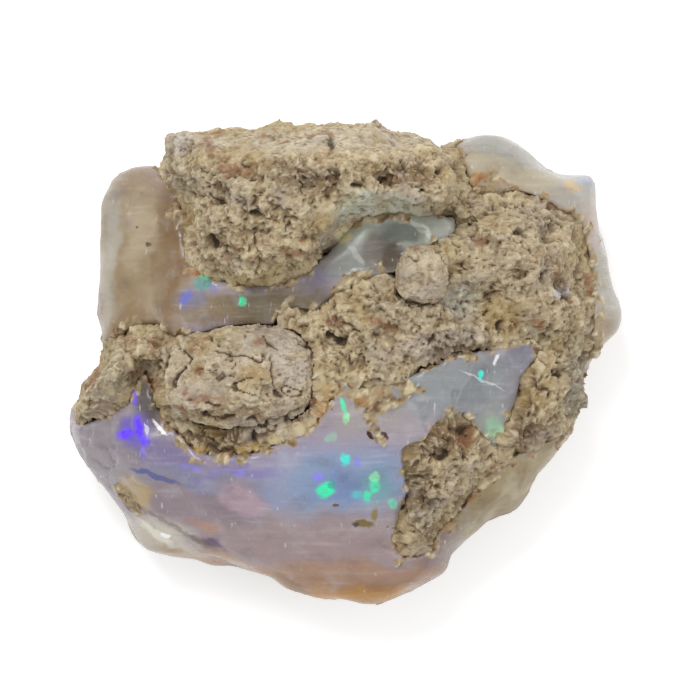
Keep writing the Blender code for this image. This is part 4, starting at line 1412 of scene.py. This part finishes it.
@dataclass
class CrumblyRock(StonePiece):
    """Rock fallen to crumbs: tilted fragments of two sizes, grit, hollows and splits."""

    pushes: tuple[tuple[float, float], ...] = ((0.18, 0.9), (0.10, 0.35))
    clump: Waves = Waves(2.3, 0.22, 0.8, rounds=2)
    lump: Fragments = Fragments(1.45, 0.11, 0.36, 0.16, 1.25)
    chip: Fragments = Fragments(0.52, 0.07, 0.26, 0.20, shift=CHIP_SHIFT)
    grit: Waves = Waves(0.26, 0.15, 0.6, tone=0.30)
    hollow: Waves = Waves(1.9, 0.34, 0.8, 2.2, tone=0.25, shift=HOLLOW_SHIFT)
    hollow_levels: tuple[float, float] = (0.22, 0.62)
    hollow_gap: float = 0.22
    pit: float = 0.6
    pit_levels: tuple[float, float] = (0.38, 0.60)
    pit_depth: float = 0.26
    pit_gap: float = 0.55
    split: float = 0.75
    split_stretch: float = 3.4
    split_turn: float = 24.0
    split_bend: tuple[float, float] = (0.30, 1.2)
    split_patch: float = 1.3
    split_depth: float = 0.22
    split_width: float = 0.04
    split_gap: float = 0.80
    sound: float = -0.202
    sound_fade: float = 0.3
    swell: float = 0.04
    groove_bend: tuple[float, float] = (0.16, 0.5)
    calm: tuple[Stretch, ...] = ()
    grooves: tuple[Groove, ...] = ()

    def grooved(self, place: Vector) -> tuple[float, float]:
        """How the grooves cut a place.

        Args:
            place: where, in millimetres.

        Returns:
            How deep they cut it in millimetres, and how deep in one it is, 0 to 1.
        """
        ragged = nudged(place, self.groove_bend)
        cuts = [(groove.share(ragged), groove.depth) for groove in self.grooves]
        return max(share * depth for share, depth in cuts), max(share for share, _ in cuts)

    def split_at(self, place: Vector) -> float:
        """How deep in a split a place is.

        Args:
            place: where, in millimetres.

        Returns:
            A share from 0 to 1, which is 0 where the rock is sound.
        """
        turn = math.radians(self.split_turn)
        bent = nudged(place, self.split_bend)
        along = bent.x * math.cos(turn) - bent.y * math.sin(turn)
        across = bent.x * math.sin(turn) + bent.y * math.cos(turn)
        line = abs(noise.noise(Vector((along / self.split_stretch, across, bent.z)) / self.split))
        weakness = noise.noise(place / self.split_patch + SPLIT_SHIFT)
        broken = smoothstep(self.sound, self.sound + self.sound_fade, weakness)
        return broken * smoothstep(self.split_width, 0.3 * self.split_width, line)

    def relief(self, place: Vector, normal: Vector) -> Relief:
        """Clumps, then tilted fragments, chips and grit, with hollows, pits and splits in them.

        Args:
            place: where, in millimetres.
            normal: which way the skin faces there.

        Returns:
            The relief.
        """
        share = share_at(place, self.calm, 1.0)
        pushed = nudged(place, *self.pushes)
        lump, lump_tone = self.lump.at(pushed)
        chip, chip_tone = self.chip.at(pushed)
        grit = self.grit.at(pushed)
        hollow = smoothstep(*self.hollow_levels, self.hollow.at(pushed))
        pit = smoothstep(*self.pit_levels, noise.noise(pushed / self.pit + PIT_SHIFT))
        split = self.split_at(place)
        height = self.clump.height * self.clump.at(place) + lump + chip + self.grit.height * grit
        height -= self.hollow.height * hollow + self.pit_depth * pit + self.split_depth * split
        cut, opened = self.grooved(place) if self.grooves and normal.z > UPWARD else (0.0, 0.0)
        tone = MID_TONE + lump_tone + chip_tone + self.grit.tone * grit - self.hollow.tone * hollow
        gap = share * (self.hollow_gap * hollow + self.pit_gap * pit + self.split_gap * split) + opened
        return Relief(share * height + self.swell - cut, min(1.0, gap), min(1.0, max(0.0, tone)))


@dataclass
class HostRock(CrumblyRock):
    """The raised block and the crusts of host rock.

    Their skin closes up to the opal that they grew with, and leaves a thin crack round the
    rounded fragments that they hold.
    """

    reach: float = 0.85
    held_relief: float = 0.85
    bite: float = 0.07
    crack: float = 0.13
    calm: tuple[Stretch, ...] = ROCK_CALM
    grooves: tuple[Groove, ...] = ROCK_GROOVES
    clasts: BVHTree | None = None
    opal: BVHTree | None = None

    def build(self, nodes: dict[str, bpy.types.Object]) -> bpy.types.Object:
        """Finds the opal's eased skin, which the rock has to meet, then makes the piece as any other.

        Args:
            nodes: the CAD nodes by name.

        Returns:
            The finished piece.
        """
        guide = fine_copy("opal_guide", nodes["opal_body"], OPAL_VOXEL, OPAL_EASING)
        self.opal = tree_of(guide.data)
        bpy.data.objects.remove(guide)
        return super().build(nodes)

    def drape(self, place: Vector) -> tuple[float, Vector]:
        """Lets the rock out to the opal, or up to the crack round a fragment, where that is near.

        Args:
            place: where, in millimetres.

        Returns:
            How much it is held there, 0 to 1, and the move that brings it there.
        """
        opal, _, _, to_opal = self.opal.find_nearest(place * MM)
        clast, _, _, to_clast = self.clasts.find_nearest(place * MM)
        to_opal, to_clast = to_opal / MM, to_clast / MM
        meets = smoothstep(self.reach, 0.4 * self.reach, min(to_clast, to_opal))
        if to_clast < to_opal:
            return meets, (clast / MM - place) * (meets * max(0.0, 1.0 - self.crack / to_clast))
        return meets, (opal / MM - place) * (meets * (1.0 + self.bite / max(to_opal, self.bite)))


@dataclass
class RoundClast(CrumblyRock):
    """The large oval fragment: worn, with broad low lumps and drying cracks."""

    finish: PaleClaystone = PaleClaystone()
    clump: Waves = replace(CrumblyRock.clump, height=0.12)
    lump: Fragments = replace(CrumblyRock.lump, size=1.9, lift=0.05, tilt=0.26)
    chip: Fragments = replace(CrumblyRock.chip, size=0.8, tilt=0.12)
    grit: Waves = replace(CrumblyRock.grit, height=0.08)
    hollow: Waves = replace(CrumblyRock.hollow, height=0.16)
    pit_depth: float = 0.20
    split: float = 1.0
    split_turn: float = 8.0
    sound: float = -0.07
    grooves: tuple[Groove, ...] = CLAST_GROOVES


@dataclass
class SmallClast(CrumblyRock):
    """The small oval fragment: worn smoother still, with a crack or two across it."""

    finish: PaleClaystone = PaleClaystone()
    clump: Waves = replace(CrumblyRock.clump, height=0.10)
    lump: Fragments = replace(CrumblyRock.lump, lift=0.06, tilt=0.24)
    chip: Fragments = replace(CrumblyRock.chip, tilt=0.12)
    grit: Waves = replace(CrumblyRock.grit, height=0.05)
    hollow: Waves = replace(CrumblyRock.hollow, height=0.14)
    pit_depth: float = 0.14
    split_turn: float = 50.0
    sound: float = -0.114


@dataclass
class Studio:
    """The white card, soft lights and camera."""

    card: float = 1600.0
    card_drop: float = 0.03
    frame_width: float = 40.46
    view_centre: tuple[float, float] = (0.29, 0.75)
    view_height: float = 6.5
    lens: float = 500.0
    sensor: float = 36.0
    clip: float = 10.0
    room: str = "#fbfcff"
    sky: float = 0.62

    def lay_card(self) -> None:
        """Lays the card that the stone rests on."""
        bm = bmesh.new()
        bmesh.ops.create_grid(bm, x_segments=1, y_segments=1, size=0.5 * self.card * MM)
        bmesh.ops.translate(bm, verts=bm.verts, vec=(0.0, 0.0, -self.card_drop * MM))
        mesh = bpy.data.meshes.new("white_card")
        bm.to_mesh(mesh)
        bm.free()
        mesh.materials.append(StudioCard().material())
        new_object("white_card", mesh)

    def soft_light(self, name: str, place: tuple[float, float, float], size: float, watts: float) -> None:
        """Hangs a square soft light that faces the stone.

        Args:
            name: the light's name.
            place: where it hangs, in millimetres.
            size: its side, in millimetres.
            watts: its power.
        """
        light = bpy.data.lights.new(name, "AREA")
        light.size = size * MM
        light.energy = watts
        obj = new_object(name, light)
        obj.location = Vector(place) * MM
        obj.rotation_euler = (-Vector(place)).to_track_quat("-Z", "Y").to_euler()

    def light(self) -> None:
        """Lights the stone softly from above and from the far side."""
        world = bpy.data.worlds.new("pale_room")
        world.use_nodes = True
        background = world.node_tree.nodes["Background"]
        background.inputs["Color"].default_value = linear(self.room)
        background.inputs["Strength"].default_value = self.sky
        bpy.context.scene.world = world
        self.soft_light("key_softbox", (-90.0, 190.0, 300.0), 150.0, 0.62)
        self.soft_light("fill_softbox", (190.0, -60.0, 260.0), 200.0, 0.16)
        bpy.context.scene.view_settings.view_transform = "Standard"

    def set_camera(self) -> None:
        """Looks straight down on the stone through a long lens."""
        camera = bpy.data.cameras.new("camera")
        camera.lens = self.lens
        camera.sensor_width = self.sensor
        camera.clip_start = self.clip * MM
        obj = new_object("camera", camera)
        away = self.frame_width * self.lens / self.sensor
        obj.location = Vector((*self.view_centre, self.view_height + away)) * MM
        bpy.context.scene.camera = obj

    def build(self) -> None:
        """Sets up the card, the lights and the camera."""
        self.lay_card()
        self.light()
        self.set_camera()


def main() -> None:
    """Builds the stone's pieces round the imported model."""
    logging.basicConfig(level=logging.INFO, format="%(name)s: %(message)s")
    noise.seed_set(NOISE_SEED)
    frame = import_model()
    Studio().build()
    nodes = frame["nodes"]
    clasts = tree_of(nodes["round_clast"].data, nodes["small_clast"].data)
    rock = HostRock(
        "host_rock_skin", "host_rock", "host_rock", voxel=0.144, easing=3, clasts=clasts
    ).build(nodes)
    opal = OpalBody("opal", "opal_body", "precious_opal", OPAL_VOXEL, OPAL_EASING, clasts=clasts)
    opal.rock = tree_of(rock.data)
    opal.build(nodes)
    RoundClast("round_clast_skin", "round_clast", "pale_clast", voxel=0.09, easing=6).build(nodes)
    SmallClast("small_clast_skin", "small_clast", "pale_clast", voxel=0.08, easing=6).build(nodes)


if __name__ == "__main__":
    main()
